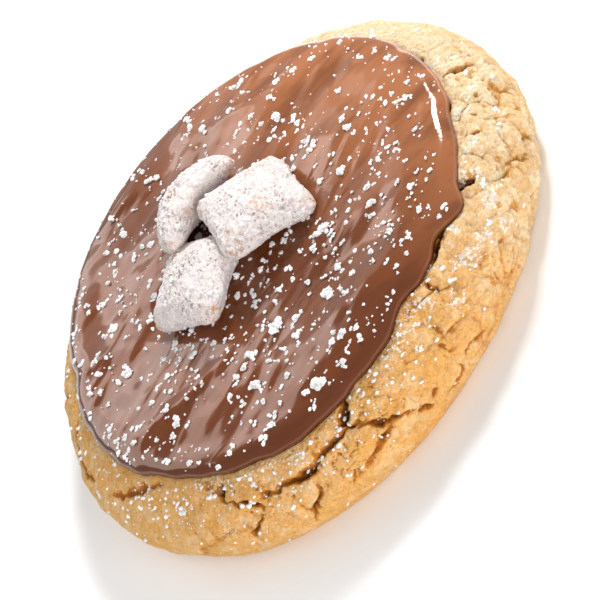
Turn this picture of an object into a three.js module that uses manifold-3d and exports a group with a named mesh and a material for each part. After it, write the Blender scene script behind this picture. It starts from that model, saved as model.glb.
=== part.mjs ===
// A round peanut butter cookie, 110 mm across, lying flat on a table.
// A craggy disc of dough carries a spread of milk chocolate, and three sugar-dusted cereal pillows are
// pressed into the middle of it. Clumps of icing sugar lie on the chocolate and on the bare rim.
// Millimetres and degrees, +Z up, origin at the middle of the flat underside. +Y points to the far side.
import * as THREE from "three";
import { mergeVertices } from "three/addons/utils/BufferGeometryUtils.js";
import Module from "manifold-3d";

const wasm = await Module();
wasm.setup();

// Driving dimensions
const GAP = 0.3; // between pieces that touch
const RIM_RADIUS = 54.7; // widest part of the dough, on average
const RIM_HEIGHT = 7; // of the widest part above the table
const SHOULDER_RADIUS = 40; // where the top starts to fall towards the rim
const SHOULDER_HEIGHT = 17;
const CROWN_HEIGHT = 17.8; // of the dough under the middle of the chocolate
const FOOT_RADIUS = 51.2; // of the flat underside
const SPREAD_RADIUS = 46.7; // of the chocolate, on average
const SPREAD_THICKNESS = 2.3;
const LIP_WIDTH = 2.6; // over which the chocolate's edge rounds off
const LIP_SHARE = 0.25; // thickness at the very edge, as a share of the full thickness

// Uneven outlines: [waves round the edge, millimetres, degrees of the first crest]
const RIM_WAVES = [
  [1, 0.35, -115],
  [2, 0.3, -22],
  [3, 0.75, -22],
  [5, 0.15, -35],
];
const SPREAD_WAVES = [
  [1, 0.45, -46],
  [2, 0.9, -83],
  [3, 0.7, -16],
  [5, 0.2, 30],
  [6, 0.3, 4],
];
// Lobes and bays in the chocolate's edge: [degrees, degrees wide, millimetres out]
const SPREAD_LOBES = [
  [-56, 5.5, 1.9],
  [-64, 4, -1.1],
  [-81, 5, -1],
  [-22, 8, 0.7],
  [150, 5, -1],
];

// Cracks in the dough: [depth, width towards the middle, width towards the rim, degrees, millimetres outward
// from the mean edge of the chocolate, ...] with as many further pairs of degrees and millimetres as bends.
const CRACKS = [
  [0.8, 2.2, 0.4, 185, 5, 191, 3.6, 197, 1.2, 202, -0.5],
  [0.45, 1.2, 1.2, 220, 9, 215, 10.5, 209, 13, 204, 18],
  [2, 0.9, 0.9, 220, 0.8, 220.4, 2.8, 221.4, 4.5],
  [1.3, 0.8, 0.5, 221.4, 4.5, 227, 6, 229.5, 7],
  [1.5, 1.7, 0.5, 230, 5.6, 238, 6.5, 242, 7, 245, 5.6, 250, 5.2, 254, 5],
  [1.1, 0.5, 0.5, 228, 8, 225, 11, 223, 12.5],
  [1.3, 0.5, 0.5, 241.5, 8.5, 240, 11, 237, 13, 235.5, 15.5],
  [0.9, 0.4, 0.4, 235.5, 11, 236.7, 13.5],
  [1, 0.5, 0.5, 248.5, 10.5, 248, 12.5, 246, 13],
  [1.1, 0.9, 0.8, 250, 12.5, 254, 11.5, 258, 10.5, 260.5, 10],
  [2.7, 0.8, 0.7, 255.5, 0.6, 254, 3, 252.4, 4, 254.2, 5.3],
  [1.6, 0.6, 0.5, 254.5, 5.3, 258, 8.5, 260, 10, 263.5, 11.6],
  [1.8, 0.8, 0.7, 264.3, 12.8, 266.2, 14.2],
  [1.2, 0.5, 0.5, 267, 13, 269.8, 13],
  [1.2, 0.6, 0.5, 270, 15, 274, 15.6, 275.2, 13.4],
  [1.2, 0.5, 0.5, 277, 14.2, 280, 13.4, 284, 15.6],
  [1.4, 0.5, 0.5, 278.8, 5.8, 277.5, 8.6],
  [1.3, 0.5, 0.4, 276.4, 8.3, 276, 10.7],
  [1.5, 0.6, 0.6, 285.5, 0.8, 285, 4.2],
  [2.3, 0.7, 0.9, 290, 0.7, 294, 0.2, 298.5, -0.3],
  [2.8, 1.1, 1, 309.6, -0.2, 309.4, 3.8],
  [1.3, 0.5, 0.5, 315, 8.8, 318.2, 13.2],
  [1.3, 0.5, 0.5, 320.8, 10.8, 323.4, 13.2],
  [1, 0.7, 0.7, 320.6, 3.4, 321.6, 3.8],
  [1, 0.7, 0.7, 325.6, 3.4, 326.6, 3.6],
  [0.9, 0.7, 0.7, 330.6, 4, 331.6, 4.2],
  [0.9, 0.7, 0.6, 333.6, 6.8, 334.6, 7.3],
  [1.6, 0.7, 0.7, 330.2, -0.6, 332, -0.8],
  [1.7, 1.1, 1, 340.6, 0.8, 340.8, 3.5, 342.4, 6.2],
  [1.2, 0.6, 0.6, 350.4, 0, 351.8, 0.2],
  [1.6, 0.9, 0.7, 48, 0.5, 50, 4, 57, 6, 66, 5, 71, 1],
  [1, 0.6, 0.6, 57, 6, 60, 11, 58, 15],
  [1.8, 0.8, 0.8, 88, 0, 87, 4, 91, 8],
  [1.2, 0.9, 0.5, 91, 8, 99, 9, 108, 7.5, 114, 9],
  [1, 0.6, 0.6, 76, 11, 83, 12.5, 88, 11.5],
  [1.6, 0.8, 0.8, 121, 0.5, 123, 5, 131, 7],
  [1.2, 0.9, 0.5, 131, 7, 138, 6, 146, 7.5, 150, 4],
  [0.9, 0.5, 0.5, 136, 11, 139, 15],
  [1.1, 0.8, 0.5, 160, 1, 163, 5, 170, 7, 176, 6],
  [0.8, 0.5, 0.5, 166, 12, 172, 13],
];
const CRACK_SPREAD = 0.5; // added to the widths, so that the facets can follow the cracks
const RELIEF_FADES = [5, 0.5]; // distances from the foot between which swells and cracks fade out

// Low swells of the bare dough: [millimetres, waves round it, radians a millimetre outward, radians of shift]
const SWELLS = [
  [0.18, 9, 0.55, 0],
  [0.15, 17, -0.8, 1.4],
  [0.08, 31, 1.3, 0.6],
];
const SWELLS_RISE = [1, 3.5]; // distances outside the chocolate between which they reach their full height

// Strokes of the spoon in the chocolate, each a low ridge or furrow along a bent line: [x, y, degrees from
// +X, bend a millimetre, half length, half width, height, rise across it to the left]
const STROKES = [
  [32.4, -3.7, -18, 0.02, 14.2, 5.9, 0.8, -0.8],
  [-40.2, 18.9, -110, 0.009, 18, 5.8, 0.8, 0.19],
  [-6.5, 42.2, 4, 0.02, 6.2, 2, 0.26, -0.36],
  [-18, -40.7, -42, -0.012, 18, 2.5, -0.09, -0.18],
  [21.1, -32.3, 29, 0.02, 18, 4.1, 0.8, 0.11],
  [22.3, 23.5, -117, 0.02, 4.9, 8, 0.8, 0],
  [-34.9, -11.5, -19, 0.002, 18, 1.8, 0.37, -0.05],
  [-25.9, 26, 49, 0.01, 5.8, 3.1, -0.27, 0.37],
  [13, -9, 48, 0.006, 14.7, 5.6, -0.8, -0.48],
  [13.7, -18, 22, -0.02, 18, 4.8, -0.41, 0],
  [-1.3, -31.3, 0, -0.015, 10.1, 1.9, -0.11, 0.14],
  [-40.4, -22.7, 33, -0.02, 16.6, 5.6, -0.7, 0.02],
  [-15.3, 23.7, 9, -0.012, 5.2, 5.6, -0.3, -0.8],
  [8.2, 24.9, 39, -0.013, 3.9, 8, -0.7, 0],
  [5.2, 44.4, -6, -0.018, 6.5, 1.9, -0.56, -0.03],
  [9.8, -38.5, 8, 0.006, 18, 2.8, 0.43, 0.05],
  [-22.2, -28.3, 15, 0.02, 13.8, 7, -0.8, 0.24],
  [-18.9, 8, 38, 0.02, 10.6, 8, -0.8, 0.56],
  [26.7, 6.7, 15, -0.008, 18, 2.6, -0.48, 0],
  [-12.7, -12.2, 16, -0.02, 12.7, 5.5, -0.52, -0.06],
  [-39.7, -8.1, -20, -0.02, 17.6, 8, 0.63, 0],
  [9.1, -25.1, -36, 0, 18, 6.2, -0.8, 0.8],
  [25.6, 17.5, 2, -0.02, 18, 4.9, 0.8, 0],
  [-17.2, 30.5, -18, -0.012, 18, 3.8, 0.42, 0],
  [-10.9, -26.7, 77, -0.02, 3.8, 7.6, -0.16, 0.59],
  [0.6, 32.5, 28, 0.02, 18, 4.7, -0.8, -0.76],
  [-33.8, 16.1, -49, 0, 17.7, 3.3, 0.3, 0.04],
  [21.3, 25.3, -42, 0.006, 14.3, 2.5, 0.5, 0],
];
const STROKES_FADE = 6; // distance from the edge of the chocolate over which the strokes fade out

// The three cereal pillows: middle, turn in degrees (about X, then Y, then Z), size, the radius they bend to,
// and the share by which they lengthen from the middle to the left side.
const PILLOWS = {
  cereal_left: {
    middle: [-10.1, -0.3, 23.4],
    turn: [-5, 1.8, 30.6],
    size: [18.6, 17.3, 9],
    bend: 41.7,
    taper: -0.033,
  },
  cereal_back: {
    middle: [0.6, 14.4, 25.5],
    turn: [-36.1, 3.3, 9.3],
    size: [20.3, 16, 7.9],
    bend: 16.9,
    taper: -0.124,
  },
  cereal_top: {
    middle: [7.1, -3.6, 25],
    turn: [7.2, 19.5, -9.9],
    size: [18.8, 17.2, 8.3],
    bend: 48,
    taper: -0.012,
  },
};
const PILLOW_DRAWN_IN = 0.027; // how far the sides curve in between the corners, as a share of the half width
const PILLOW_SQUARENESS = 6; // power of the rounded square
const PILLOW_FLATNESS = 1.1; // power of the swelling towards its middle

// Sugar clumps: how many, and how large across
const CLUMPS_ON_SPREAD = 55;
const CLUMPS_ON_RIM = 24;
const CLUMP_SIZE = [1.1, 2.1];
const CLUMP_TALLEST = 0.75; // height above what a clump lies on
const CLUMP_HEIGHT = 0.4; // as a share of its size
const CLUMP_NARROWEST = 0.65; // width as a share of the length
const CLUMP_TILT = 0.6; // in radians, at the most
const CLUMPS_REACH = 42.5; // radius within which they lie on the chocolate
const RIM_CLUMPS_BETWEEN = [49.5, 53.5]; // radii between which they lie on the rim
const CLEAR_OF_SPREAD = 0.9; // between the clumps on the rim and the chocolate
const FIRST_RIM_CLUMP = 500; // numbers from which the draws for the rim and for the heaps count
const FIRST_HEAP = 800;
// The largest heaps of sugar on the chocolate: [x, y, size]
const HEAPS = [
  [-8, -22.8, 3.2],
  [1.9, -29.3, 2.9],
  [10.4, -17.6, 2.9],
  [-26.8, 17.9, 2.8],
  [-31.5, 6.1, 2.5],
  [-18.7, -27.9, 2.4],
  [-12, -42.4, 2.5],
  [23.3, 13.6, 2.3],
];

// Fineness of the faceted surfaces
const DOUGH_SPOKES = 136;
const COVERED_RINGS = [24, 38]; // radii of the dough's rings under the chocolate
const BARE_RINGS = 14;
const BARE_FROM = 44; // radius at which the rings of the bare dough begin
const BARE_UNTIL = 7; // distance from the foot at which they end
const FOOT_RINGS = [4.5, 2, 0]; // distances from the foot
const SPREAD_SPOKES = 90;
const TOP_RINGS = 11;
const LIP_RINGS = [0.55, 0.2, 0.03]; // distances from the chocolate's edge, as shares of the lip's width
const UNDER_RINGS = [0.35, 3, 7, 24]; // distances from the chocolate's edge
const PILLOW_SPOKES = 24;
const PILLOW_RINGS = 9;

const { degToRad } = THREE.MathUtils;
const GOLDEN_ANGLE = Math.PI * (3 - Math.sqrt(5));

// A repeatable draw between 0 and 1 for item i and quality k.
function draw(i, k) {
  const wave = Math.sin(i * 12.9898 + k * 78.233) * 43758.5453;
  return wave - Math.floor(wave);
}

// Sum of waves round an outline, at an angle in radians.
function wavy(waves, angle) {
  return waves.reduce((sum, [n, size, crest]) => sum + size * Math.cos(n * (angle - degToRad(crest))), 0);
}

// Sum of bell-shaped lobes round an outline, at an angle in radians.
function lobed(lobes, angle) {
  return lobes.reduce((sum, [at, wide, out]) => {
    const away = THREE.MathUtils.euclideanModulo(angle - degToRad(at) + Math.PI, 2 * Math.PI) - Math.PI;
    return sum + out * Math.exp(-((away / degToRad(wide)) ** 2));
  }, 0);
}

function rimScale(angle) {
  return 1 + wavy(RIM_WAVES, angle) / RIM_RADIUS;
}

function spreadRadius(angle) {
  return SPREAD_RADIUS + wavy(SPREAD_WAVES, angle) + lobed(SPREAD_LOBES, angle);
}

// Half of the dough's section, over the crown, the shoulder and the rim to the foot, without the underside.
const section = new THREE.CurvePath();
section.add(
  new THREE.QuadraticBezierCurve(
    new THREE.Vector2(0, CROWN_HEIGHT),
    new THREE.Vector2(SHOULDER_RADIUS / 2, CROWN_HEIGHT),
    new THREE.Vector2(SHOULDER_RADIUS, SHOULDER_HEIGHT),
  ),
);
section.add(
  new THREE.EllipseCurve(
    SHOULDER_RADIUS,
    RIM_HEIGHT,
    RIM_RADIUS - SHOULDER_RADIUS,
    SHOULDER_HEIGHT - RIM_HEIGHT,
    Math.PI / 2,
    0,
    true,
  ),
);
section.add(
  new THREE.EllipseCurve(
    FOOT_RADIUS,
    RIM_HEIGHT,
    RIM_RADIUS - FOOT_RADIUS,
    RIM_HEIGHT,
    0,
    -Math.PI / 2,
    true,
  ),
);
const SECTION_LENGTH = section.getLength();
const TOP_SHARE = 0.8; // of the section, within which its top lies
const HALVINGS = 30;

// The distance along the section at which it lies a given radius out on the top, found by halving.
function sectionDistance(radius) {
  let [near, far] = [0, SECTION_LENGTH * TOP_SHARE];
  for (let step = 0; step < HALVINGS; step++) {
    const middle = (near + far) / 2;
    if (section.getPoint(middle / SECTION_LENGTH).x < radius) near = middle;
    else far = middle;
  }
  return near;
}
const SPREAD_EDGE_DISTANCE = sectionDistance(SPREAD_RADIUS);

// A point of the smooth dough, at an angle in radians and a distance along the section.
function smoothDough(angle, distance) {
  const p = section.getPoint(Math.min(distance / SECTION_LENGTH, 1));
  const radius = p.x * rimScale(angle);
  return new THREE.Vector3(radius * Math.cos(angle), radius * Math.sin(angle), p.y);
}

// Outward normal of the smooth dough.
function doughNormal(angle, distance) {
  const t = section.getTangent(Math.min(distance / SECTION_LENGTH, 0.999));
  return new THREE.Vector3(-t.y * Math.cos(angle), -t.y * Math.sin(angle), t.x);
}

const crackLines = CRACKS.map(([depth, inner, outer, ...bends]) => {
  const points = [];
  for (let k = 0; k < bends.length; k += 2)
    points.push(smoothDough(degToRad(bends[k]), SPREAD_EDGE_DISTANCE + bends[k + 1]));
  return { depth, width: CRACK_SPREAD + (inner + outer) / 2, points };
});

// How deep the cracks are at a point of the smooth dough: each is a valley with a bell-shaped section.
function crackDepth(point) {
  const nearest = new THREE.Vector3();
  const line = new THREE.Line3();
  return crackLines.reduce((deepest, { depth, width, points }) => {
    let away = Infinity;
    for (let k = 0; k + 1 < points.length; k++) {
      line.set(points[k], points[k + 1]).closestPointToPoint(point, true, nearest);
      away = Math.min(away, nearest.distanceTo(point));
    }
    return Math.max(deepest, depth * Math.exp(-((away / width) ** 2)));
  }, 0);
}

// Low swells of the bare dough, as crossed waves.
function doughSwell(angle, distance) {
  return SWELLS.reduce(
    (sum, [size, round, outward, shift]) => sum + size * Math.sin(round * angle + outward * distance + shift),
    0,
  );
}

// A point of the finished dough. Its relief fades out under the chocolate and towards the foot.
function doughPoint(angle, distance) {
  const point = smoothDough(angle, distance);
  const bare = Math.hypot(point.x, point.y) - spreadRadius(angle);
  const swell = doughSwell(angle, distance) * THREE.MathUtils.smoothstep(bare, ...SWELLS_RISE);
  const [fadeFrom, fadeTo] = RELIEF_FADES.map((left) => SECTION_LENGTH - left);
  const foot = 1 - THREE.MathUtils.smoothstep(distance, fadeFrom, fadeTo);
  return point.addScaledVector(doughNormal(angle, distance), (swell - crackDepth(point)) * foot);
}

// Height of the smooth dough at a place on its top.
function doughHeight(x, y) {
  const radius = Math.hypot(x, y) / rimScale(Math.atan2(y, x));
  if (radius <= SHOULDER_RADIUS) {
    const share = radius / SHOULDER_RADIUS;
    return CROWN_HEIGHT - (CROWN_HEIGHT - SHOULDER_HEIGHT) * share * share;
  }
  const out = Math.min((radius - SHOULDER_RADIUS) / (RIM_RADIUS - SHOULDER_RADIUS), 1);
  return RIM_HEIGHT + (SHOULDER_HEIGHT - RIM_HEIGHT) * Math.sqrt(1 - out * out);
}

// Height of the ridges and furrows that the spoon left: each stroke is bell-shaped along and across its line.
function strokeHeight(x, y) {
  return STROKES.reduce((sum, [middleX, middleY, direction, bend, halfLength, halfWidth, height, rise]) => {
    const [c, s] = [Math.cos(degToRad(direction)), Math.sin(degToRad(direction))];
    const along = (x - middleX) * c + (y - middleY) * s;
    const across = (y - middleY) * c - (x - middleX) * s - bend * along ** 2;
    const bell = Math.exp(-((along / halfLength) ** 2) - (across / halfWidth) ** 2);
    return sum + bell * (height + (rise * across) / halfWidth);
  }, 0);
}

// Height of the top of the chocolate: its full thickness inside, rounded off over the lip.
function spreadHeight(x, y) {
  const inset = spreadRadius(Math.atan2(y, x)) - Math.hypot(x, y);
  const lip = Math.sqrt(1 - (1 - THREE.MathUtils.clamp(inset / LIP_WIDTH, 0, 1)) ** 2);
  const thickness = SPREAD_THICKNESS * (LIP_SHARE + (1 - LIP_SHARE) * lip);
  const strokes = strokeHeight(x, y) * THREE.MathUtils.smoothstep(inset, 0, STROKES_FADE);
  return doughHeight(x, y) + GAP + thickness + strokes;
}

// A closed surface over a first pole, a stack of equal rings and a last pole.
function ringedGeometry(firstPole, rings, lastPole) {
  const spokes = rings[0].length;
  const index = [];
  const lastVertex = rings.length * spokes + 1;
  for (let j = 0; j < spokes; j++) {
    const k = (j + 1) % spokes;
    index.push(0, 1 + j, 1 + k);
    for (let row = 1; row + spokes < lastVertex; row += spokes)
      index.push(row + j, row + spokes + j, row + spokes + k, row + j, row + spokes + k, row + k);
    index.push(lastVertex, lastVertex - spokes + k, lastVertex - spokes + j);
  }
  const positions = [firstPole, ...rings.flat(), lastPole].flatMap((p) => p.toArray());
  return new THREE.BufferGeometry()
    .setAttribute("position", new THREE.Float32BufferAttribute(positions, 3))
    .setIndex(index);
}

// One ring of points, made by a function of the angle.
function ring(spokes, place) {
  return Array.from({ length: spokes }, (_, j) => place((2 * Math.PI * j) / spokes));
}

function solidOf(geometry) {
  const bare = geometry.clone().deleteAttribute("normal").deleteAttribute("uv");
  const merged = mergeVertices(bare, 1e-4);
  return new wasm.Manifold(
    new wasm.Mesh({
      numProp: 3,
      vertProperties: merged.attributes.position.array,
      triVerts: new Uint32Array(merged.index.array),
    }),
  );
}

function geometryOf(solid) {
  const { vertProperties, triVerts } = solid.getMesh();
  return new THREE.BufferGeometry()
    .setAttribute("position", new THREE.BufferAttribute(vertProperties, 3))
    .setIndex(new THREE.BufferAttribute(triVerts, 1));
}

// The largest of the pieces that a cut or a join leaves.
function largestBody(solid) {
  return solid.decompose().reduce((a, b) => (a.volume() > b.volume() ? a : b));
}

function namedMesh(name, geometry, material) {
  geometry.computeVertexNormals();
  const mesh = new THREE.Mesh(geometry, material);
  mesh.name = name;
  return mesh;
}

// One rough clump of sugar, a squashed and turned twenty-sided ball.
function clumpSolid(i, size, place) {
  const turn = new THREE.Euler(CLUMP_TILT * draw(i, 2), CLUMP_TILT * draw(i, 3), 2 * Math.PI * draw(i, 4));
  const width = size * (CLUMP_NARROWEST + (1 - CLUMP_NARROWEST) * draw(i, 5));
  const height = Math.min(size * CLUMP_HEIGHT, CLUMP_TALLEST);
  const scale = new THREE.Vector3(size / 2, width / 2, height);
  const matrix = new THREE.Matrix4().compose(place, new THREE.Quaternion().setFromEuler(turn), scale);
  return solidOf(new THREE.IcosahedronGeometry(1, 0).applyMatrix4(matrix));
}

// A pillow of puffed cereal: a square with rounded corners and drawn-in sides, swollen in the middle,
// pinched round its seam and bent to a curve. It may be grown all round by a margin.
function pillowGeometry({ size, bend, taper }, margin = 0) {
  const [halfLength, halfWidth, halfThickness] = size.map((s) => s / 2 + margin);
  const place = (angle, height) => {
    const [c, s] = [Math.cos(angle), Math.sin(angle)];
    const power = PILLOW_SQUARENESS;
    const square = (Math.abs(c) ** power + Math.abs(s) ** power) ** (-1 / power);
    const reach = Math.cos(height) * square * (1 - PILLOW_DRAWN_IN * Math.cos(4 * angle));
    const x = halfLength * reach * c * (1 + taper * reach * s);
    const z = halfThickness * Math.sign(height) * Math.abs(Math.sin(height)) ** PILLOW_FLATNESS;
    return new THREE.Vector3(
      (bend + z) * Math.sin(x / bend),
      halfWidth * reach * s,
      (bend + z) * Math.cos(x / bend) - bend,
    );
  };
  const rings = Array.from({ length: PILLOW_RINGS }, (_, i) => {
    const height = (Math.PI / 2) * (1 - (2 * (i + 1)) / (PILLOW_RINGS + 1));
    return ring(PILLOW_SPOKES, (angle) => place(angle, height));
  });
  return ringedGeometry(place(0, Math.PI / 2), rings, place(0, -Math.PI / 2));
}

function pillowMatrix({ middle, turn }) {
  const [x, y, z] = turn.map(degToRad);
  return new THREE.Matrix4()
    .makeRotationFromEuler(new THREE.Euler(x, y, z, "ZYX"))
    .setPosition(...middle);
}

// The room that a pillow takes, with the gap round it, in the cookie's frame.
function pillowRoom(name) {
  const pillow = PILLOWS[name];
  return solidOf(pillowGeometry(pillow, GAP).applyMatrix4(pillowMatrix(pillow)));
}

// Only the clumps that stay clear of some rooms.
function clearOf(rooms, clumps) {
  return clumps.filter((clump) => rooms.every((room) => clump.intersect(room).isEmpty()));
}

// The sugar clumps of one area, at even turns by the golden angle. The first is number `first` of all draws.
function scatteredClumps(count, first, innerRadius, outerRadius, place) {
  const [smallest, largest] = CLUMP_SIZE;
  return Array.from({ length: count }, (_, i) => {
    const share = (i + 0.5 + 0.5 * draw(first + i, 6)) / (count + 0.5);
    const radius = Math.sqrt(innerRadius ** 2 + (outerRadius ** 2 - innerRadius ** 2) * share);
    const size = smallest + (largest - smallest) * draw(first + i, 1) ** 2;
    return clumpSolid(first + i, size, place(i * GOLDEN_ANGLE + 0.35 * draw(first + i, 7), radius));
  });
}

// The disc of dough, from its crown down over the rim to the flat underside, with sugar on its bare part.
function cookieMesh() {
  const bareFrom = sectionDistance(BARE_FROM);
  const step = (SECTION_LENGTH - BARE_UNTIL - bareFrom) / (BARE_RINGS - 1);
  const distances = [
    ...COVERED_RINGS.map(sectionDistance),
    ...Array.from({ length: BARE_RINGS }, (_, i) => bareFrom + step * i),
    ...FOOT_RINGS.map((left) => SECTION_LENGTH - left),
  ];
  const rings = distances.map((distance) => ring(DOUGH_SPOKES, (angle) => doughPoint(angle, distance)));
  const disc = ringedGeometry(new THREE.Vector3(0, 0, CROWN_HEIGHT), rings, new THREE.Vector3());
  const onRim = (angle, radius) => doughPoint(angle, sectionDistance(radius));
  const sugar = scatteredClumps(CLUMPS_ON_RIM, FIRST_RIM_CLUMP, ...RIM_CLUMPS_BETWEEN, onRim);
  const kept = clearOf([spreadSolid(CLEAR_OF_SPREAD)], sugar);
  const solid = largestBody(kept.reduce((joined, clump) => joined.add(clump), solidOf(disc)));
  const dough = new THREE.MeshStandardMaterial({ color: 0xdeab68, roughness: 0.9, metalness: 0 });
  return namedMesh("cookie", geometryOf(solid), dough);
}

// The bare spread of chocolate: top, rounded lip and a hollow that fits the dough. A margin makes it larger.
function spreadSolid(margin = 0) {
  const at = (angle, inset, lift) => {
    const radius = spreadRadius(angle) + margin - inset;
    const [x, y] = [radius * Math.cos(angle), radius * Math.sin(angle)];
    return new THREE.Vector3(x, y, lift(x, y, inset));
  };
  const top = (x, y) => spreadHeight(x, y) + margin;
  const bottom = (x, y) => doughHeight(x, y) + GAP - margin;
  const edge = (x, y) => doughHeight(x, y) + GAP + (SPREAD_THICKNESS * LIP_SHARE) / 2;
  const inward = (angle, share) => (spreadRadius(angle) + margin) * (1 - share) + LIP_WIDTH * share;
  const rings = [
    ...Array.from({ length: TOP_RINGS }, (_, i) =>
      ring(SPREAD_SPOKES, (angle) => at(angle, inward(angle, (i + 1) / TOP_RINGS), top)),
    ),
    ...LIP_RINGS.map((share) => ring(SPREAD_SPOKES, (angle) => at(angle, share * LIP_WIDTH, top))),
    ring(SPREAD_SPOKES, (angle) => at(angle, 0, edge)),
    ...UNDER_RINGS.map((inset) => ring(SPREAD_SPOKES, (angle) => at(angle, inset, bottom))),
  ];
  const crown = new THREE.Vector3(0, 0, top(0, 0));
  return solidOf(ringedGeometry(crown, rings, new THREE.Vector3(0, 0, bottom(0, 0))));
}

// The chocolate, dented where the pillows are pressed in, with sugar on top.
function chocolateMesh() {
  const rooms = Object.keys(PILLOWS).map(pillowRoom);
  const onSpread = (angle, radius) => {
    const [x, y] = [radius * Math.cos(angle), radius * Math.sin(angle)];
    return new THREE.Vector3(x, y, spreadHeight(x, y));
  };
  const heaps = HEAPS.map(([x, y, size], i) =>
    clumpSolid(FIRST_HEAP + i, size, new THREE.Vector3(x, y, spreadHeight(x, y))),
  );
  const scattered = scatteredClumps(CLUMPS_ON_SPREAD, 0, 0, CLUMPS_REACH, onSpread);
  const sugar = clearOf(rooms, [...scattered, ...heaps]);
  const dented = rooms.reduce((left, room) => left.subtract(room), spreadSolid());
  const solid = largestBody(sugar.reduce((joined, clump) => joined.add(clump), dented));
  const chocolate = new THREE.MeshStandardMaterial({ color: 0x8a5238, roughness: 0.25, metalness: 0 });
  return namedMesh("chocolate", geometryOf(solid), chocolate);
}

// One cereal pillow in its place, cut clear of the pillows that it lies on.
function pillowMesh(name, below) {
  const pillow = PILLOWS[name];
  const matrix = pillowMatrix(pillow);
  const inverse = matrix.clone().invert();
  const local = (solid) => solidOf(geometryOf(solid).applyMatrix4(inverse));
  const whole = solidOf(pillowGeometry(pillow));
  const cut = below.reduce((left, other) => left.subtract(local(pillowRoom(other))), whole);
  const coating = new THREE.MeshStandardMaterial({ color: 0xe6dad4, roughness: 0.95, metalness: 0 });
  const mesh = namedMesh(name, geometryOf(largestBody(cut)), coating);
  matrix.decompose(mesh.position, mesh.quaternion, mesh.scale);
  return mesh;
}

const cookie = new THREE.Group();
const topping = new THREE.Group();
topping.add(
  pillowMesh("cereal_left", []),
  pillowMesh("cereal_back", ["cereal_left"]),
  pillowMesh("cereal_top", ["cereal_left", "cereal_back"]),
);
cookie.add(cookieMesh(), chocolateMesh(), topping);

export default cookie;
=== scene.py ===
"""A round peanut butter cookie with a milk chocolate spread, cereal pillows and icing sugar.

Lengths in the shape functions are millimetres, in the cookie's own frame: +Z up, origin at the middle of the
flat underside, -Y towards the camera. Meshes are written in metres.
"""
import itertools
import math

import bpy
import numpy as np
from mathutils import Matrix, Vector


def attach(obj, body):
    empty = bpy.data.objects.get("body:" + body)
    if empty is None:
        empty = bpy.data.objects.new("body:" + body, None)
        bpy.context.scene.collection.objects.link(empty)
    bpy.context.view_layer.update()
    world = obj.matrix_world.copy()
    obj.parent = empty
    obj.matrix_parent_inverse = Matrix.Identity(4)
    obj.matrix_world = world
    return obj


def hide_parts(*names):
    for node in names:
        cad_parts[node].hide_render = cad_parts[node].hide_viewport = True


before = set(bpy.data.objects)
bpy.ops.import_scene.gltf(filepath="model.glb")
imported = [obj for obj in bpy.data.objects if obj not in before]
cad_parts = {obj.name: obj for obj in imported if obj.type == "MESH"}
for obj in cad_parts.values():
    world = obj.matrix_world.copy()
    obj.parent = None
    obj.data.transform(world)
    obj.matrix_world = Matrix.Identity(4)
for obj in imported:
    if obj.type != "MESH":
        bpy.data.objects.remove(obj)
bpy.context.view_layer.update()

bl_info = {
    "name": "Peanut butter cookie",
    "version": (1, 0, 0),
    "blender": (4, 5, 0),
    "location": "3D View > Sidebar > Cookie",
    "description": "Bakes, spreads and dusts a peanut butter cookie over its solid frame",
    "category": "Object",
}

MM = 0.001

# The dough's section, as in the solid
RIM_RADIUS = 54.7
RIM_HEIGHT = 7.0
SHOULDER_RADIUS = 40.0
SHOULDER_HEIGHT = 17.0
CROWN_HEIGHT = 17.8
FOOT_RADIUS = 51.2
# How far up the section from the floor the relief fades away
FOOT_LENGTH = 5.0
# How far the dough's surface stays below the smooth disc under the chocolate
UNDER_SPREAD = 0.05

# The chocolate, as in the solid
GAP = 0.3
SPREAD_RADIUS = 46.7
SPREAD_THICKNESS = 2.3
LIP_WIDTH = 2.6
LIP_SHARE = 0.25
STROKES_FADE = 6.0

# Uneven outlines: waves round the edge, millimetres, degrees of the first crest
RIM_WAVES = ((1, 0.35, -115), (2, 0.3, -22), (3, 0.75, -22), (5, 0.15, -35))
SPREAD_WAVES = ((1, 0.45, -46), (2, 0.9, -83), (3, 0.7, -16), (5, 0.2, 30), (6, 0.3, 4))
# Lobes and bays in the chocolate's edge: degrees, degrees wide, millimetres out
SPREAD_LOBES = ((-56, 5.5, 1.9), (-64, 4, -1.1), (-81, 5, -1), (-22, 8, 0.7), (150, 5, -1))
# Finer waves of the chocolate's edge, which the solid leaves out
EDGE_WAVES = ((14, 0.14, 12), (23, 0.12, 5), (37, 0.08, 2), (52, 0.05, 1))

# Low swells of the bare dough: millimetres, waves round it, radians a millimetre outward, radians of shift
SWELLS = ((0.18, 9, 0.55, 0), (0.15, 17, -0.8, 1.4), (0.08, 31, 1.3, 0.6))

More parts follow.
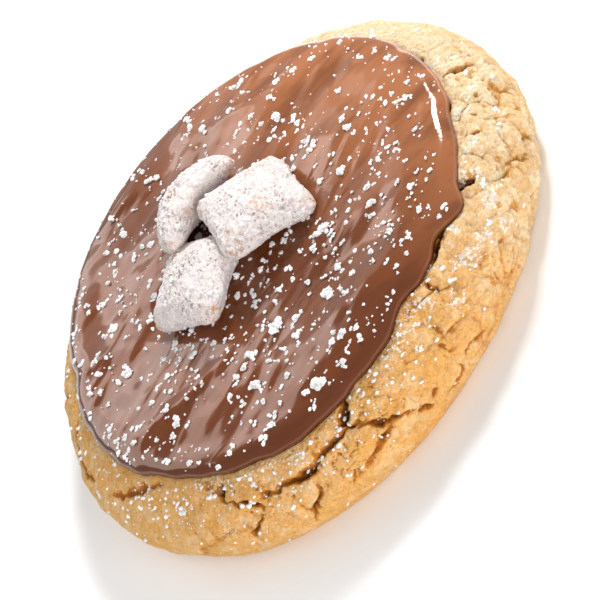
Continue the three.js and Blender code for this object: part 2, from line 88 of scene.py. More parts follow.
# Cracks in the dough: depth, width towards the middle, width towards the rim, then the bends as pairs of
# degrees and millimetres outward from the mean edge of the chocolate
CRACKS = (
    (1, 2.2, 0.4, 185, 5, 191, 3.6, 197, 1.2, 202, -0.5),
    (0.45, 1.2, 1.2, 220, 9, 215, 10.5, 209, 13, 204, 18),
    (2, 0.9, 0.9, 220, 0.8, 220.4, 2.8, 221.4, 4.5),
    (1.3, 0.8, 0.5, 221.4, 4.5, 227, 6, 229.5, 7),
    (1.5, 1.7, 0.5, 230, 5.6, 238, 6.5, 242, 7, 245, 5.6, 250, 5.2, 254, 5),
    (1.1, 0.5, 0.5, 228, 8, 225, 11, 223, 12.5),
    (1.3, 0.5, 0.5, 241.5, 8.5, 240, 11, 237, 13, 235.5, 15.5),
    (0.9, 0.4, 0.4, 235.5, 11, 236.7, 13.5),
    (1, 0.5, 0.5, 248.5, 10.5, 248, 12.5, 246, 13),
    (1.1, 0.9, 0.8, 250, 12.5, 254, 11.5, 258, 10.5, 260.5, 10),
    (2.7, 0.8, 0.7, 255.5, 0.6, 254, 3, 252.4, 4, 254.2, 5.3),
    (1.6, 0.6, 0.5, 254.5, 5.3, 258, 8.5, 260, 10, 263.5, 11.6),
    (1.8, 0.8, 0.7, 264.3, 12.8, 266.2, 14.2),
    (1.2, 0.5, 0.5, 267, 13, 269.8, 13),
    (1.2, 0.6, 0.5, 270, 15, 274, 15.6, 275.2, 13.4),
    (1.2, 0.5, 0.5, 277, 14.2, 280, 13.4, 284, 15.6),
    (1.4, 0.5, 0.5, 278.8, 5.8, 277.5, 8.6),
    (1.3, 0.5, 0.4, 276.4, 8.3, 276, 10.7),
    (1.5, 0.6, 0.6, 285.5, 0.8, 285, 4.2),
    (2.3, 0.7, 0.9, 290, 0.7, 294, 0.2, 298.5, -0.3),
    (2.8, 1.1, 1, 309.6, -0.2, 309.4, 3.8),
    (1.3, 0.5, 0.5, 315, 8.8, 318.2, 13.2),
    (1.3, 0.5, 0.5, 320.8, 10.8, 323.4, 13.2),
    (1, 0.7, 0.7, 320.6, 3.4, 321.6, 3.8),
    (1, 0.7, 0.7, 325.6, 3.4, 326.6, 3.6),
    (0.9, 0.7, 0.7, 330.6, 4, 331.6, 4.2),
    (0.9, 0.7, 0.6, 333.6, 6.8, 334.6, 7.3),
    (1.6, 0.7, 0.7, 330.2, -0.6, 332, -0.8),
    (1.7, 1.1, 1, 340.6, 0.8, 340.8, 3.5, 342.4, 6.2),
    (1.2, 0.6, 0.6, 350.4, 0, 351.8, 0.2),
    (1.6, 0.9, 0.7, 48, 0.5, 50, 4, 57, 6, 66, 5, 71, 1),
    (1, 0.6, 0.6, 57, 6, 60, 11, 58, 15),
    (1.8, 0.8, 0.8, 88, 0, 87, 4, 91, 8),
    (1.2, 0.9, 0.5, 91, 8, 99, 9, 108, 7.5, 114, 9),
    (1, 0.6, 0.6, 76, 11, 83, 12.5, 88, 11.5),
    (1.6, 0.8, 0.8, 121, 0.5, 123, 5, 131, 7),
    (1.2, 0.9, 0.5, 131, 7, 138, 6, 146, 7.5, 150, 4),
    (0.9, 0.5, 0.5, 136, 11, 139, 15),
    (1.1, 0.8, 0.5, 160, 1, 163, 5, 170, 7, 176, 6),
    (0.8, 0.5, 0.5, 166, 12, 172, 13),
)
# Radius at which the cracks are laid out flat, how much wider they gape on either side than in the solid as a
# share of their depth squared, and the part of the rim that is craggy
CHART_RADIUS = 50.0
CRACK_OPENING = 0.07
CRAGGY_MIDDLE = 278
CRAGGY_REACH = (58, 75)
# The part of the rim that rose in rounded lumps, in degrees, and how far it reaches to either side
LUMPY_MIDDLE = 312
LUMPY_REACH = (26, 56)
# The far part of the rim, darkened as painted shade
SHADED_FAR_MIDDLE = 75
SHADED_FAR_REACH = (68, 108)
# The part of the rim that caught most of the sugar
FLAKES_MIDDLE = 238
FLAKES_REACH = (38, 80)

# Strokes of the spoon in the chocolate, each a low ridge or furrow along a bent line: x, y, degrees from +X,
# bend a millimetre, half length, half width, height, rise across it to the left
STROKES = (
    (32.4, -3.7, -18, 0.02, 14.2, 5.9, 0.8, -0.8),
    (-40.2, 18.9, -110, 0.009, 18, 5.8, 0.8, 0.19),
    (-6.5, 42.2, 4, 0.02, 6.2, 2, 0.26, -0.36),
    (-18, -40.7, -42, -0.012, 18, 2.5, -0.09, -0.18),
    (21.1, -32.3, 29, 0.02, 18, 4.1, 0.8, 0.11),
    (22.3, 23.5, -117, 0.02, 4.9, 8, 0.8, 0),
    (-34.9, -11.5, -19, 0.002, 18, 1.8, 0.37, -0.05),
    (-25.9, 26, 49, 0.01, 5.8, 3.1, -0.27, 0.37),
    (13, -9, 48, 0.006, 14.7, 5.6, -0.8, -0.48),
    (13.7, -18, 22, -0.02, 18, 4.8, -0.41, 0),
    (-1.3, -31.3, 0, -0.015, 10.1, 1.9, -0.11, 0.14),
    (-40.4, -22.7, 33, -0.02, 16.6, 5.6, -0.7, 0.02),
    (-15.3, 23.7, 9, -0.012, 5.2, 5.6, -0.3, -0.8),
    (8.2, 24.9, 39, -0.013, 3.9, 8, -0.7, 0),
    (5.2, 44.4, -6, -0.018, 6.5, 1.9, -0.56, -0.03),
    (9.8, -38.5, 8, 0.006, 18, 2.8, 0.43, 0.05),
    (-22.2, -28.3, 15, 0.02, 13.8, 7, -0.8, 0.24),
    (-18.9, 8, 38, 0.02, 10.6, 8, -0.8, 0.56),
    (26.7, 6.7, 15, -0.008, 18, 2.6, -0.48, 0),
    (-12.7, -12.2, 16, -0.02, 12.7, 5.5, -0.52, -0.06),
    (-39.7, -8.1, -20, -0.02, 17.6, 8, 0.63, 0),
    (9.1, -25.1, -36, 0, 18, 6.2, -0.8, 0.8),
    (25.6, 17.5, 2, -0.02, 18, 4.9, 0.8, 0),
    (-17.2, 30.5, -18, -0.012, 18, 3.8, 0.42, 0),
    (-10.9, -26.7, 77, -0.02, 3.8, 7.6, -0.16, 0.59),
    (0.6, 32.5, 28, 0.02, 18, 4.7, -0.8, -0.76),
    (-33.8, 16.1, -49, 0, 17.7, 3.3, 0.3, 0.04),
    (21.3, 25.3, -42, 0.006, 14.3, 2.5, 0.5, 0),
)

# The cereal pillows: middle, turn about X, then Y, then Z in degrees, size, radius they bend to, and the
# share by which they lengthen from the middle to the left side
PILLOWS = {
    "cereal_left": ((-10.1, -0.3, 23.4), (-5, 1.8, 30.6), (18.6, 17.3, 9), 41.7, -0.033),
    "cereal_back": ((0.6, 14.4, 25.5), (-36.1, 3.3, 9.3), (20.3, 16, 7.9), 16.9, -0.124),
    "cereal_top": ((7.1, -3.6, 25), (7.2, 19.5, -9.9), (18.8, 17.2, 8.3), 48, -0.012),
}
# How far their sides are drawn in, and the powers that make their outlines square and their tops round
PILLOW_DRAWN_IN = 0.027
PILLOW_SQUARENESS = 6
PILLOW_FLATNESS = 1.1
# How far apart the pillows read the noise of their coats, so that no two are alike
PILLOW_APART = 40

# The sugar clumps of the solid: how many, between which radii, how large, and the heaps as x, y and size
CLUMPS_ON_SPREAD = 55
SPREAD_CLUMP_RADII = (0, 42.5)
CLUMPS_ON_RIM = 24
FIRST_RIM_CLUMP = 500
RIM_CLUMP_RADII = (49.5, 53.5)
CLUMP_SIZE = (1.1, 2.1)
GOLDEN_ANGLE = math.pi * (3 - math.sqrt(5))
HEAPS = (
    (-8, -22.8, 3.2),
    (1.9, -29.3, 2.9),
    (10.4, -17.6, 2.9),
    (-26.8, 17.9, 2.8),
    (-31.5, 6.1, 2.5),
    (-18.7, -27.9, 2.4),
    (-12, -42.4, 2.5),
    (23.3, 13.6, 2.3),
)

# How many smaller lumps make up each speck, heap and clump of sugar
LUMPS_IN_SPECK = 3
LUMPS_IN_HEAP = 6
LUMPS_IN_RIM_CLUMP = 5
# Seeds of the random draws: where the sugar falls, then the form of each kind's lumps
SUGAR_SEED = 7
SPECK_SEED = 11
GRAIN_SEED = 13
FLAKE_SEED = 17
RIM_CLUMP_SEED = 19

# How finely each curve of the section is divided
SECTION_POINTS = 400
# How finely the surfaces are divided: points round them and rows from their middles to their edges
DOUGH_SPOKES = 940
DOUGH_ROWS = 94
FOOT_ROWS = 9
# The dough's rows under the chocolate, where nothing shows, and where its close rows begin
COVERED_RADII = (14.0, 28.0, 38.0)
OPEN_RADIUS = 43.6
SPREAD_SPOKES = 640
SPREAD_ROWS = 112
LIP_ROWS = 18
# How far in from the chocolate's edge its underside has rows
UNDERSIDE_INSETS = (0.15, 0.6, 3.5, 9.0, 24.0)
PILLOW_SPOKES = 440
PILLOW_RINGS = 160
FLOOR_SPOKES = 96

# Fine marks on the dough, as colours
DOUGH_SPECK = (0.36, 0.16, 0.05, 1.0)
TOASTED = (0.66, 0.24, 0.05, 1.0)
# Painted warm shade in the hollows of the fine crumb
CRUMB_HOLLOW_SHADE = (0.8, 0.38, 0.08, 1.0)
# Painted golden shade in the hollows of the broken crumb
BROKEN_CRUST_SHADE = (0.88, 0.48, 0.13, 1.0)
CREAMY_CRUMB = (1.0, 0.85, 0.6, 1.0)
# Golden torn crumb between the lumps, partly painted shade in the creases
TORN_CRUMB_AND_SHADE = (0.7, 0.34, 0.075, 1.0)
MELTED_SUGAR = (0.98, 0.93, 0.84, 1.0)
# Fine marks on the cereal's coat
# Painted shadow in tiny pores, as near-black specks
PORE_SHADOW_SPECK = (0.12, 0.08, 0.08, 1.0)
HEAPED_SUGAR = (0.98, 0.97, 0.965, 1.0)

# The camera: aim point in millimetres, angle above the horizon, turn about its own view and distance
CAMERA_AIM = (-1.93, -11.4, 10.0)
CAMERA_ELEVATION = 36.5
CAMERA_ROLL = 54.5
CAMERA_DISTANCE = 550.0
CAMERA_LENS = 181.44

# The table top and its opening, which the cookie's foot covers on all sides
FLOOR_RADIUS = 2500.0
FLOOR_OPENING = FOOT_RADIUS - 1.8

# The lights: degrees from +X towards +Y, degrees up, metres away, and metres wide and high
LIGHTS = {
    "Soft box": (121.3, 28.2, 0.7, (0.66, 0.48)),
    "Key": (30.0, 39.0, 0.249, (0.075, 0.04)),
    "Reflector": (88, 28.2, 0.7, (0.2, 0.48)),
    "Fill": (-95, 18, 0.45, (0.45, 0.2)),
}
# Height in metres of the point that they face
LIGHTS_AIM = 0.018


class DoughSettings(bpy.types.PropertyGroup):
    """Relief and colours of the baked dough."""

    crack_depth: bpy.props.FloatProperty(
        name="Crack depth", description="Depth of the cracks, as a share of the solid's", default=1.0,
        min=0.0)
    lump_height: bpy.props.FloatProperty(
        name="Lump height", description="Height of the lumps between the cracks", default=0.00026,
        subtype="DISTANCE", unit="LENGTH")
    grain_height: bpy.props.FloatProperty(
        name="Grain height", description="Height of the finest crumb", default=0.00014,
        subtype="DISTANCE", unit="LENGTH")
    crust: bpy.props.FloatVectorProperty(
        name="Crust", description="Colour of the baked crust", default=(0.82, 0.44, 0.137, 1.0),
        size=4, subtype="COLOR")
    # Paler crust towards +X: partly baked less, partly painted light where the key light falls
    pale_lit_crust: bpy.props.FloatVectorProperty(
        name="Pale crust", description="Colour where the dough baked least", default=(0.88, 0.7, 0.46, 1.0),
        size=4, subtype="COLOR")
    crumb: bpy.props.FloatVectorProperty(
        name="Crumb", description="Colour just inside the cracks", default=(0.56, 0.2, 0.03, 1.0),
        size=4, subtype="COLOR")
    # Painted shade over the crumb's colour at the bottom of the cracks
    deep_crumb_and_shade: bpy.props.FloatVectorProperty(
        name="Deep crumb", description="Colour at the bottom of the cracks",
        default=(0.17, 0.052, 0.007, 1.0), size=4, subtype="COLOR")


class ChocolateSettings(bpy.types.PropertyGroup):
    """Surface and colours of the chocolate spread."""

    drag_height: bpy.props.FloatProperty(
        name="Drag lines", description="Height of the fine lines along the spoon's strokes", default=0.00007,
        subtype="DISTANCE", unit="LENGTH")
    ripple_height: bpy.props.FloatProperty(
        name="Ripples", description="Height of the low ripples between the strokes", default=0.0002,
        subtype="DISTANCE", unit="LENGTH")
    milk: bpy.props.FloatVectorProperty(
        name="Milk chocolate", description="Main colour of the spread", default=(0.15, 0.039, 0.011, 1.0),
        size=4, subtype="COLOR")
    # Colour of the streaks, also used as painted shade round the lip on the left side
    dark_streaks_and_shade: bpy.props.FloatVectorProperty(
        name="Dark streaks", description="Colour of the darker streaks", default=(0.1, 0.028, 0.011, 1.0),
        size=4, subtype="COLOR")
    # Painted light: the spread's colour towards +X, where the key light falls
    pale_and_lit: bpy.props.FloatVectorProperty(
        name="Pale chocolate", description="Colour of the spread on its palest side", size=4, subtype="COLOR",
        default=(0.37, 0.14, 0.058, 1.0))
    gloss_roughness: bpy.props.FloatProperty(
        name="Roughness", description="Roughness of the glossy surface", default=0.11, min=0.0, max=1.0,
        subtype="FACTOR")


class CerealSettings(bpy.types.PropertyGroup):
    """Surface of the cereal pillows."""

    pit_depth: bpy.props.FloatProperty(
        name="Pit depth", description="Depth of the pores in the sugar coat", default=0.00042,
        subtype="DISTANCE", unit="LENGTH")
    coat: bpy.props.FloatVectorProperty(
        name="Sugar coat", description="Colour of the thick sugar coat", default=(0.93, 0.845, 0.815, 1.0),
        size=4, subtype="COLOR")
    # Painted shade in the pores and pits of the coat
    pore_shade: bpy.props.FloatVectorProperty(
        name="Pores", description="Colour in the pores of the coat", default=(0.46, 0.37, 0.37, 1.0),
        size=4, subtype="COLOR")
    biscuit: bpy.props.FloatVectorProperty(
        name="Bare cereal", description="Colour of the cereal where the coat has worn off",
        default=(0.72, 0.33, 0.14, 1.0), size=4, subtype="COLOR")


class SugarSettings(bpy.types.PropertyGroup):
    """How much icing sugar lies on the cookie."""

    specks: bpy.props.IntProperty(
        name="Specks", description="Clumps of sugar scattered over the chocolate", default=840, min=0)
    grains: bpy.props.IntProperty(
        name="Grains", description="Fine grains of sugar on the chocolate", default=520, min=0)
    flakes: bpy.props.IntProperty(
        name="Flakes", description="Flakes of sugar on the bare dough", default=520, min=0)
    sugar: bpy.props.FloatVectorProperty(
        name="Icing sugar", description="Colour of the sugar", default=(0.98, 0.97, 0.965, 1.0),
        size=4, subtype="COLOR")


class StageSettings(bpy.types.PropertyGroup):
    """Floor, lights and camera."""

    floor: bpy.props.FloatVectorProperty(
        name="Floor", description="Colour of the floor", default=(0.97, 0.97, 0.97, 1.0), size=4,
        subtype="COLOR")
    sky: bpy.props.FloatProperty(
        name="Surroundings", description="Brightness of the white studio round the cookie", default=0.35)
    soft_box: bpy.props.FloatProperty(
        name="Soft box", description="Power of the large soft box behind on the left", default=2.25,
        subtype="POWER", unit="POWER")
    reflector: bpy.props.FloatProperty(
        name="Reflector", description="Power of the dimmer panel beside the soft box", default=0.2,
        subtype="POWER", unit="POWER")
    key: bpy.props.FloatProperty(
        name="Key light", description="Power of the key light behind on the right", default=0.7,
        subtype="POWER", unit="POWER")
    fill: bpy.props.FloatProperty(
        name="Fill light", description="Power of the low broad light in front", default=1.75,
        subtype="POWER", unit="POWER")


def draw(item, quality):
    """A repeatable draw between 0 and 1 for an item and a quality, as in the solid."""
    wave = np.sin(item * 12.9898 + quality * 78.233) * 43758.5453
    return wave - np.floor(wave)


def lattice_values(corners, seed):
    """Repeatable values between -1 and 1 for whole-number corners, by mixing their bits."""
    mixed = corners[..., 0] * 374761393 + corners[..., 1] * 668265263 + corners[..., 2] * 1442695041
    mixed = (mixed + seed * 974711) & 0xFFFFFFFF
    mixed = ((mixed ^ (mixed >> 13)) * 1274126177) & 0xFFFFFFFF
    mixed = ((mixed ^ (mixed >> 15)) * 668265263) & 0xFFFFFFFF
    return (mixed ^ (mixed >> 16)) / 0x7FFFFFFF - 1.0


def soft_noise(points, cell, seed):
    """Smooth noise: the lattice values at the eight corners round a point, blended with eased weights."""
    scaled = points / cell
    low = np.floor(scaled).astype(np.int64)
    part = scaled - low
    part = part * part * (3 - 2 * part)
    total = np.zeros(points.shape[:-1])
    for corner in itertools.product((0, 1), repeat=3):
        weight = np.where(np.array(corner), part, 1 - part).prod(-1)
        total += weight * lattice_values(low + np.array(corner), seed)
    return total


def layered_noise(points, cell, octaves, seed):
    """Soft noise plus octaves of half the size and half the height."""
    return sum(soft_noise(points, cell / 2**k, seed + 31 * k) / 2**k for k in range(octaves))


def cell_distances(points, cell, seed):
    """Distances to the nearest and second nearest of seeds jittered in a lattice, in cell sizes."""
    scaled = points / cell
    low = np.floor(scaled).astype(np.int64)
    first = np.full(points.shape[:-1], 9.0)
    second = first.copy()
    for step in itertools.product((-1, 0, 1), repeat=3):
        corner = low + np.array(step)
        jitter = np.stack([lattice_values(corner, seed + 7 * axis) for axis in range(3)], -1)
        away = np.linalg.norm(corner + 0.5 + 0.42 * jitter - scaled, axis=-1)
        second = np.minimum(second, np.maximum(first, away))
        first = np.minimum(first, away)
    return first, second


def packed_lumps(points, cell, seed):
    """Height of rounded lumps packed side by side, 1 at their tops, and their creases from 0 to 1."""
    first, second = cell_distances(points, cell, seed)
    return 1 - 1.6 * first * first, 1 - eased(second - first, 0, 0.11)


def eased(value, low, high):
    """0 below low, 1 above high and a smooth cubic step between."""
    share = np.clip((value - low) / (high - low), 0, 1)
    return share * share * (3 - 2 * share)


def wavy(waves, angle):
    """Sum of cosines round an outline, at an angle in radians."""
    return sum(size * np.cos(n * (angle - math.radians(crest))) for n, size, crest in waves)


def turn_between(angle, degrees):
    """The least turn from a fixed angle in degrees to angles in radians, in radians."""
    return (angle - math.radians(degrees) + np.pi) % (2 * np.pi) - np.pi


def degrees_from(angle, degrees):
    """How many degrees angles in radians are from a fixed angle in degrees, on either side."""
    return np.degrees(np.abs(turn_between(angle, degrees)))


def turns(count):
    """Angles of a number of even turns round the cookie, in radians."""
    return np.linspace(0, 2 * np.pi, count, endpoint=False)


def lobed(lobes, angle):
    """Sum of bell-shaped lobes round an outline, at an angle in radians."""
    return sum(out * np.exp(-((turn_between(angle, at) / math.radians(wide)) ** 2))
               for at, wide, out in lobes)


def rim_scale(angle):
    """Radius of the dough's outline as a share of the mean."""
    return 1 + wavy(RIM_WAVES, angle) / RIM_RADIUS


def spread_radius(angle):
    """Radius of the chocolate's edge."""
    return SPREAD_RADIUS + wavy(SPREAD_WAVES + EDGE_WAVES, angle) + lobed(SPREAD_LOBES, angle)


def section_table():
    """Distance along, radius and height of the dough's half section: a flat parabola over the crown, a
    quarter ellipse over the shoulder to the rim, and a quarter ellipse under it to the foot."""
    share = np.linspace(0, 1, SECTION_POINTS)
    crown = np.stack([
        SHOULDER_RADIUS * share,
        CROWN_HEIGHT - (CROWN_HEIGHT - SHOULDER_HEIGHT) * share**2,
    ], -1)
    turn = np.linspace(np.pi / 2, 0, SECTION_POINTS)[1:]
    shoulder = np.stack([
        SHOULDER_RADIUS + (RIM_RADIUS - SHOULDER_RADIUS) * np.cos(turn),
        RIM_HEIGHT + (SHOULDER_HEIGHT - RIM_HEIGHT) * np.sin(turn),
    ], -1)
    foot = np.stack([
        FOOT_RADIUS + (RIM_RADIUS - FOOT_RADIUS) * np.cos(turn - np.pi / 2),
        RIM_HEIGHT + RIM_HEIGHT * np.sin(turn - np.pi / 2),
    ], -1)
    line = np.concatenate([crown, shoulder, foot])
    steps = np.linalg.norm(np.diff(line, axis=0), axis=1)
    return np.concatenate([[0], np.cumsum(steps)]), line[:, 0], line[:, 1]


SECTION_DISTANCE, SECTION_RADIUS, SECTION_HEIGHT = section_table()
SECTION_LENGTH = SECTION_DISTANCE[-1]
TOP_ROWS = SECTION_HEIGHT >= RIM_HEIGHT


def section_distance(radius):
    """The distance along the section at which its top lies a given radius out."""
    return np.interp(radius, SECTION_RADIUS[TOP_ROWS], SECTION_DISTANCE[TOP_ROWS])


def smooth_dough(angle, distance):
    """A point of the smooth dough, at an angle in radians and a distance along the section."""
    radius = np.interp(distance, SECTION_DISTANCE, SECTION_RADIUS) * rim_scale(angle)
    height = np.interp(distance, SECTION_DISTANCE, SECTION_HEIGHT)
    return np.stack([radius * np.cos(angle), radius * np.sin(angle), height], -1)


def dough_normal(angle, distance):
    """Outward normal of the smooth dough, from the slope of its section."""
    step = 0.05
    rise = np.interp(distance + step, SECTION_DISTANCE, SECTION_HEIGHT)
    rise = rise - np.interp(distance - step, SECTION_DISTANCE, SECTION_HEIGHT)
    run = np.interp(distance + step, SECTION_DISTANCE, SECTION_RADIUS)
    run = run - np.interp(distance - step, SECTION_DISTANCE, SECTION_RADIUS)
    length = np.hypot(rise, run) + 1e-9
    return np.stack([-rise / length * np.cos(angle), -rise / length * np.sin(angle), run / length], -1)


def nearest_on_line(points, bends):
    """How far chart points are from a line with bends, which of them lie outside it, and 0 at its ends to 1
    halfway along."""
    nearest = np.full(points.shape[:-1], np.inf)
    outside = np.zeros(points.shape[:-1], bool)
    along = np.zeros(points.shape[:-1])
    lengths = np.linalg.norm(np.diff(bends, axis=0), axis=1)
    for start, end, length, passed in zip(bends[:-1], bends[1:], lengths, np.cumsum(lengths) - lengths):
        direction = (end - start) / length
        outward = np.array([-direction[1], direction[0]]) * (1 if direction[0] >= 0 else -1)
        share = np.clip((points - start) @ direction, 0, length)
        away = np.linalg.norm(points - start - share[..., None] * direction, axis=-1)
        closer = away < nearest
        nearest = np.where(closer, away, nearest)
        outside = np.where(closer, (points - start) @ outward > 0, outside)
        along = np.where(closer, (passed + share) / lengths.sum(), along)
    return nearest, outside, 1 - np.abs(2 * along - 1)


def crack_relief(points, angle, distance):
    """Depth of the cracks, and how near each point is to one, where the crust sags. Each crack is a valley
    round a line that noise has shaken, with its own width on either side, and narrows and rises towards its
    ends."""
    edge = section_distance(SPREAD_RADIUS)
    shake = np.stack([0.55 * soft_noise(points, 1.3, 11 + k) + 0.3 * soft_noise(points, 0.55, 21 + k)
                      for k in range(2)], -1)
    uneven = 1 + 0.35 * soft_noise(points, 1.6, 17)
    depth_here = np.zeros(angle.shape)
    lip = np.zeros(angle.shape)
    for depth, inner, outer, *bends in CRACKS:
        pairs = np.array(bends, float).reshape(-1, 2)
        line = np.stack([CHART_RADIUS * np.radians(pairs[:, 0] - pairs[0, 0]), pairs[:, 1]], -1)
        chart = np.stack([CHART_RADIUS * turn_between(angle, pairs[0, 0]), distance - edge], -1)
        away, outside, halfway = nearest_on_line(chart + shake, line)
        taper = (0.35 + 0.65 * np.sqrt(halfway)) * uneven
        width = (np.where(outside, outer, inner) + CRACK_OPENING * depth**2) * taper
        depth_here = np.maximum(depth_here, depth * taper * (1 - eased(away, 0.15 * width, width)))
        lip = np.maximum(lip, min(depth, 1.5) * np.exp(-((away / (inner + outer)) ** 2)))
    return depth_here, lip


def dough_swell(angle, distance):
    """Low swells of the bare dough, as crossed waves."""
    return sum(size * np.sin(n * angle + outward * distance + shift) for size, n, outward, shift in SWELLS)


def lumpy_share(angle):
    """1 on the part of the rim that rose in rounded lumps, falling to 0 on either side of it."""
    return 1 - eased(degrees_from(angle, LUMPY_MIDDLE), *LUMPY_REACH)


def dough_zones(angle, distance, bare):
    """How craggy and how lumpy the dough is, from 0 to 1. Both end under the chocolate and are less on the
    wall."""
    wall = eased(distance, section_distance(53.5), section_distance(54.6) + 3)
    open_dough = eased(bare, -1.0, 1.0) * (1 - 0.35 * wall)
    craggy = open_dough * (0.3 + 0.7 * (1 - eased(degrees_from(angle, CRAGGY_MIDDLE), *CRAGGY_REACH)))
    return craggy, open_dough * lumpy_share(angle)


def lump_relief(smooth, shaken, craggy, lumpy):
    """Rounded lumps packed side by side in two sizes, as shares of the lump height, the depth of the creases
    between them, and how far each point is up a small one."""
    large, large_crease = packed_lumps(shaken, 6.0, 43)
    small, small_crease = packed_lumps(shaken, 2.1, 45)
    lumps = (craggy + 3.6 * lumpy) * large + (0.35 * craggy + 1.3 * lumpy) * small
    open_crease = eased(soft_noise(smooth, 5, 46), -0.4, 0.3)
    return lumps, lumpy * (0.5 * large_crease * open_crease + 0.14 * small_crease), small


def hair_and_pits(smooth, shaken, lumpy):
    """Depths of the hairline cracks, which follow the zero lines of noise, and of the small round pits."""
    hair = 0.5 * (1 - eased(np.abs(layered_noise(smooth, 4.0, 3, 47)), 0.0, 0.06))
    hair = hair * eased(soft_noise(smooth, 7, 49), -0.25, 0.25) * (1 - 0.8 * lumpy)
    pit, _ = cell_distances(shaken, 1.7, 53)
    return hair, 0.55 * (1 - eased(pit, 0.1, 0.32)) * eased(soft_noise(smooth, 6, 59), 0.05, 0.4)


def dough_surface(angle, distance, settings):
    """The finished dough: the smooth disc moved along its normal by swells, lumps, cracks, pits and crumb.
    Returns its points, how deep each lies in a crack, crease, pit or crumb hollow, which the colour shows
    partly as painted shade, and how far outside the chocolate."""
    smooth = smooth_dough(angle, distance)
    bare = np.hypot(smooth[..., 0], smooth[..., 1]) - spread_radius(angle)
    craggy, lumpy = dough_zones(angle, distance, bare)
    cracks, lip = crack_relief(smooth, angle, distance)
    cracks = cracks * settings.crack_depth * (1 - 0.5 * lumpy * eased(bare, 4, 7))
    shaken = smooth + 1.1 * soft_noise(smooth, 3, 41)[..., None]
    lumps, creases, small = lump_relief(smooth, shaken, craggy, lumpy)
    hair, pits = hair_and_pits(smooth, shaken, lumpy)
    crumb = 0.23 * layered_noise(smooth, 2.2, 3, 61)
    grain = settings.grain_height / MM * layered_noise(smooth, 0.8, 2, 67)
    relief = dough_swell(angle, distance) * eased(bare, 1, 3.5)
    relief = relief + craggy * (crumb - hair - pits) + settings.lump_height / MM * lumps - creases
    relief = relief + 0.05 * layered_noise(smooth, 3, 3, 71) + grain - cracks - 0.12 * lip
    foot = 1 - eased(distance, SECTION_LENGTH - FOOT_LENGTH, SECTION_LENGTH - 0.5)
    covered = eased(bare, -3.5, -1.2)
    relief = relief * foot * covered - UNDER_SPREAD * (1 - covered)
    # Painted shade: the crumb's hollows and the dips between small lumps count as depth, which darkens the
    # colour
    hollow_shade = 0.4 * eased(-crumb - 0.25 * (small - 0.4) * lumpy, 0.02, 0.26)
    depth = (cracks + creases + craggy * (hair + pits + hollow_shade)) * foot * covered
    return smooth + relief[..., None] * dough_normal(angle, distance), depth, bare


def dough_height(x, y):
    """Height of the smooth dough at a place on its top."""
    radius = np.hypot(x, y) / rim_scale(np.arctan2(y, x))
    return np.interp(section_distance(np.minimum(radius, RIM_RADIUS)), SECTION_DISTANCE, SECTION_HEIGHT)


def stroke_height(x, y):
    """Height of the spoon's strokes: each is exp(-(along/a)^2 - (across/b)^2) (height + rise across/b)."""
    total = np.zeros(np.shape(x))
    for middle_x, middle_y, direction, bend, half_length, half_width, height, rise in STROKES:
        c, s = math.cos(math.radians(direction)), math.sin(math.radians(direction))
        along = (x - middle_x) * c + (y - middle_y) * s
        across = ((y - middle_y) * c - (x - middle_x) * s - bend * along**2) / half_width
        total = total + np.exp(-((along / half_length) ** 2) - across**2) * (height + rise * across)
    return total


def spread_height(x, y):
    """Height of the top of the chocolate: its full thickness inside, rounded off over the lip."""
    inset = spread_radius(np.arctan2(y, x)) - np.hypot(x, y)
    lip = np.sqrt(1 - (1 - np.clip(inset / LIP_WIDTH, 0, 1)) ** 2)
    thickness = SPREAD_THICKNESS * (LIP_SHARE + (1 - LIP_SHARE) * lip)
    return dough_height(x, y) + GAP + thickness + stroke_height(x, y) * eased(inset, 0, STROKES_FADE)


def pillow_matrix(name):
    """Turn and place of a cereal pillow, as a rotation and a middle."""
    middle, turn, *_ = PILLOWS[name]
    x, y, z = (math.radians(t) for t in turn)
    rotation = Matrix.Rotation(z, 3, "Z") @ Matrix.Rotation(y, 3, "Y") @ Matrix.Rotation(x, 3, "X")
    return np.array(rotation), np.array(middle, float)


def pillow_surface(name, angle, height):
    """A puffed pillow: a rounded square with drawn-in sides, swollen in the middle and bent to a curve.
    The angle goes round it and the height from its top at a quarter turn to its bottom at minus that."""
    _, _, size, bend, taper = PILLOWS[name]
    half_length, half_width, half_thickness = (s / 2 for s in size)
    c, s = np.cos(angle), np.sin(angle)
    square = (np.abs(c) ** PILLOW_SQUARENESS + np.abs(s) ** PILLOW_SQUARENESS) ** (-1 / PILLOW_SQUARENESS)
    reach = np.cos(height) * square * (1 - PILLOW_DRAWN_IN * np.cos(4 * angle))
    x = half_length * reach * c * (1 + taper * reach * s)
    z = half_thickness * np.sign(height) * np.abs(np.sin(height)) ** PILLOW_FLATNESS
    bent = (bend + z) * np.sin(x / bend), half_width * reach * s, (bend + z) * np.cos(x / bend) - bend
    local = np.stack(bent, -1)
    rotation, middle = pillow_matrix(name)
    return local @ rotation.T + middle


def scene_mesh(name, points, faces, smooth=True):
    """A mesh of millimetre points in the scene, smooth-shaded or faceted."""
    mesh = bpy.data.meshes.new(name)
    mesh.from_pydata((points.reshape(-1, 3) * MM).tolist(), [], faces)
    mesh.polygons.foreach_set("use_smooth", np.full(len(mesh.polygons), smooth))
    mesh.update()
    thing = bpy.data.objects.new(name, mesh)
    bpy.context.collection.objects.link(thing)
    return thing


def mesh_object(name, points, faces, smooth=True, body="root"):
    """A piece of the object: a mesh in the scene that rides on the cookie."""
    piece = scene_mesh(name, points, faces, smooth)
    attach(piece, body)
    return piece


def band_faces(start, rings, spokes):
    """Quads between rings of vertices of equal count, numbered on from a first vertex."""
    spoke = np.arange(spokes)
    after = (spoke + 1) % spokes
    rows = start + spokes * np.arange(rings - 1)[:, None]
    quads = np.stack([rows + spoke, rows + spokes + spoke, rows + spokes + after, rows + after], -1)
    return quads.reshape(-1, 4).tolist()


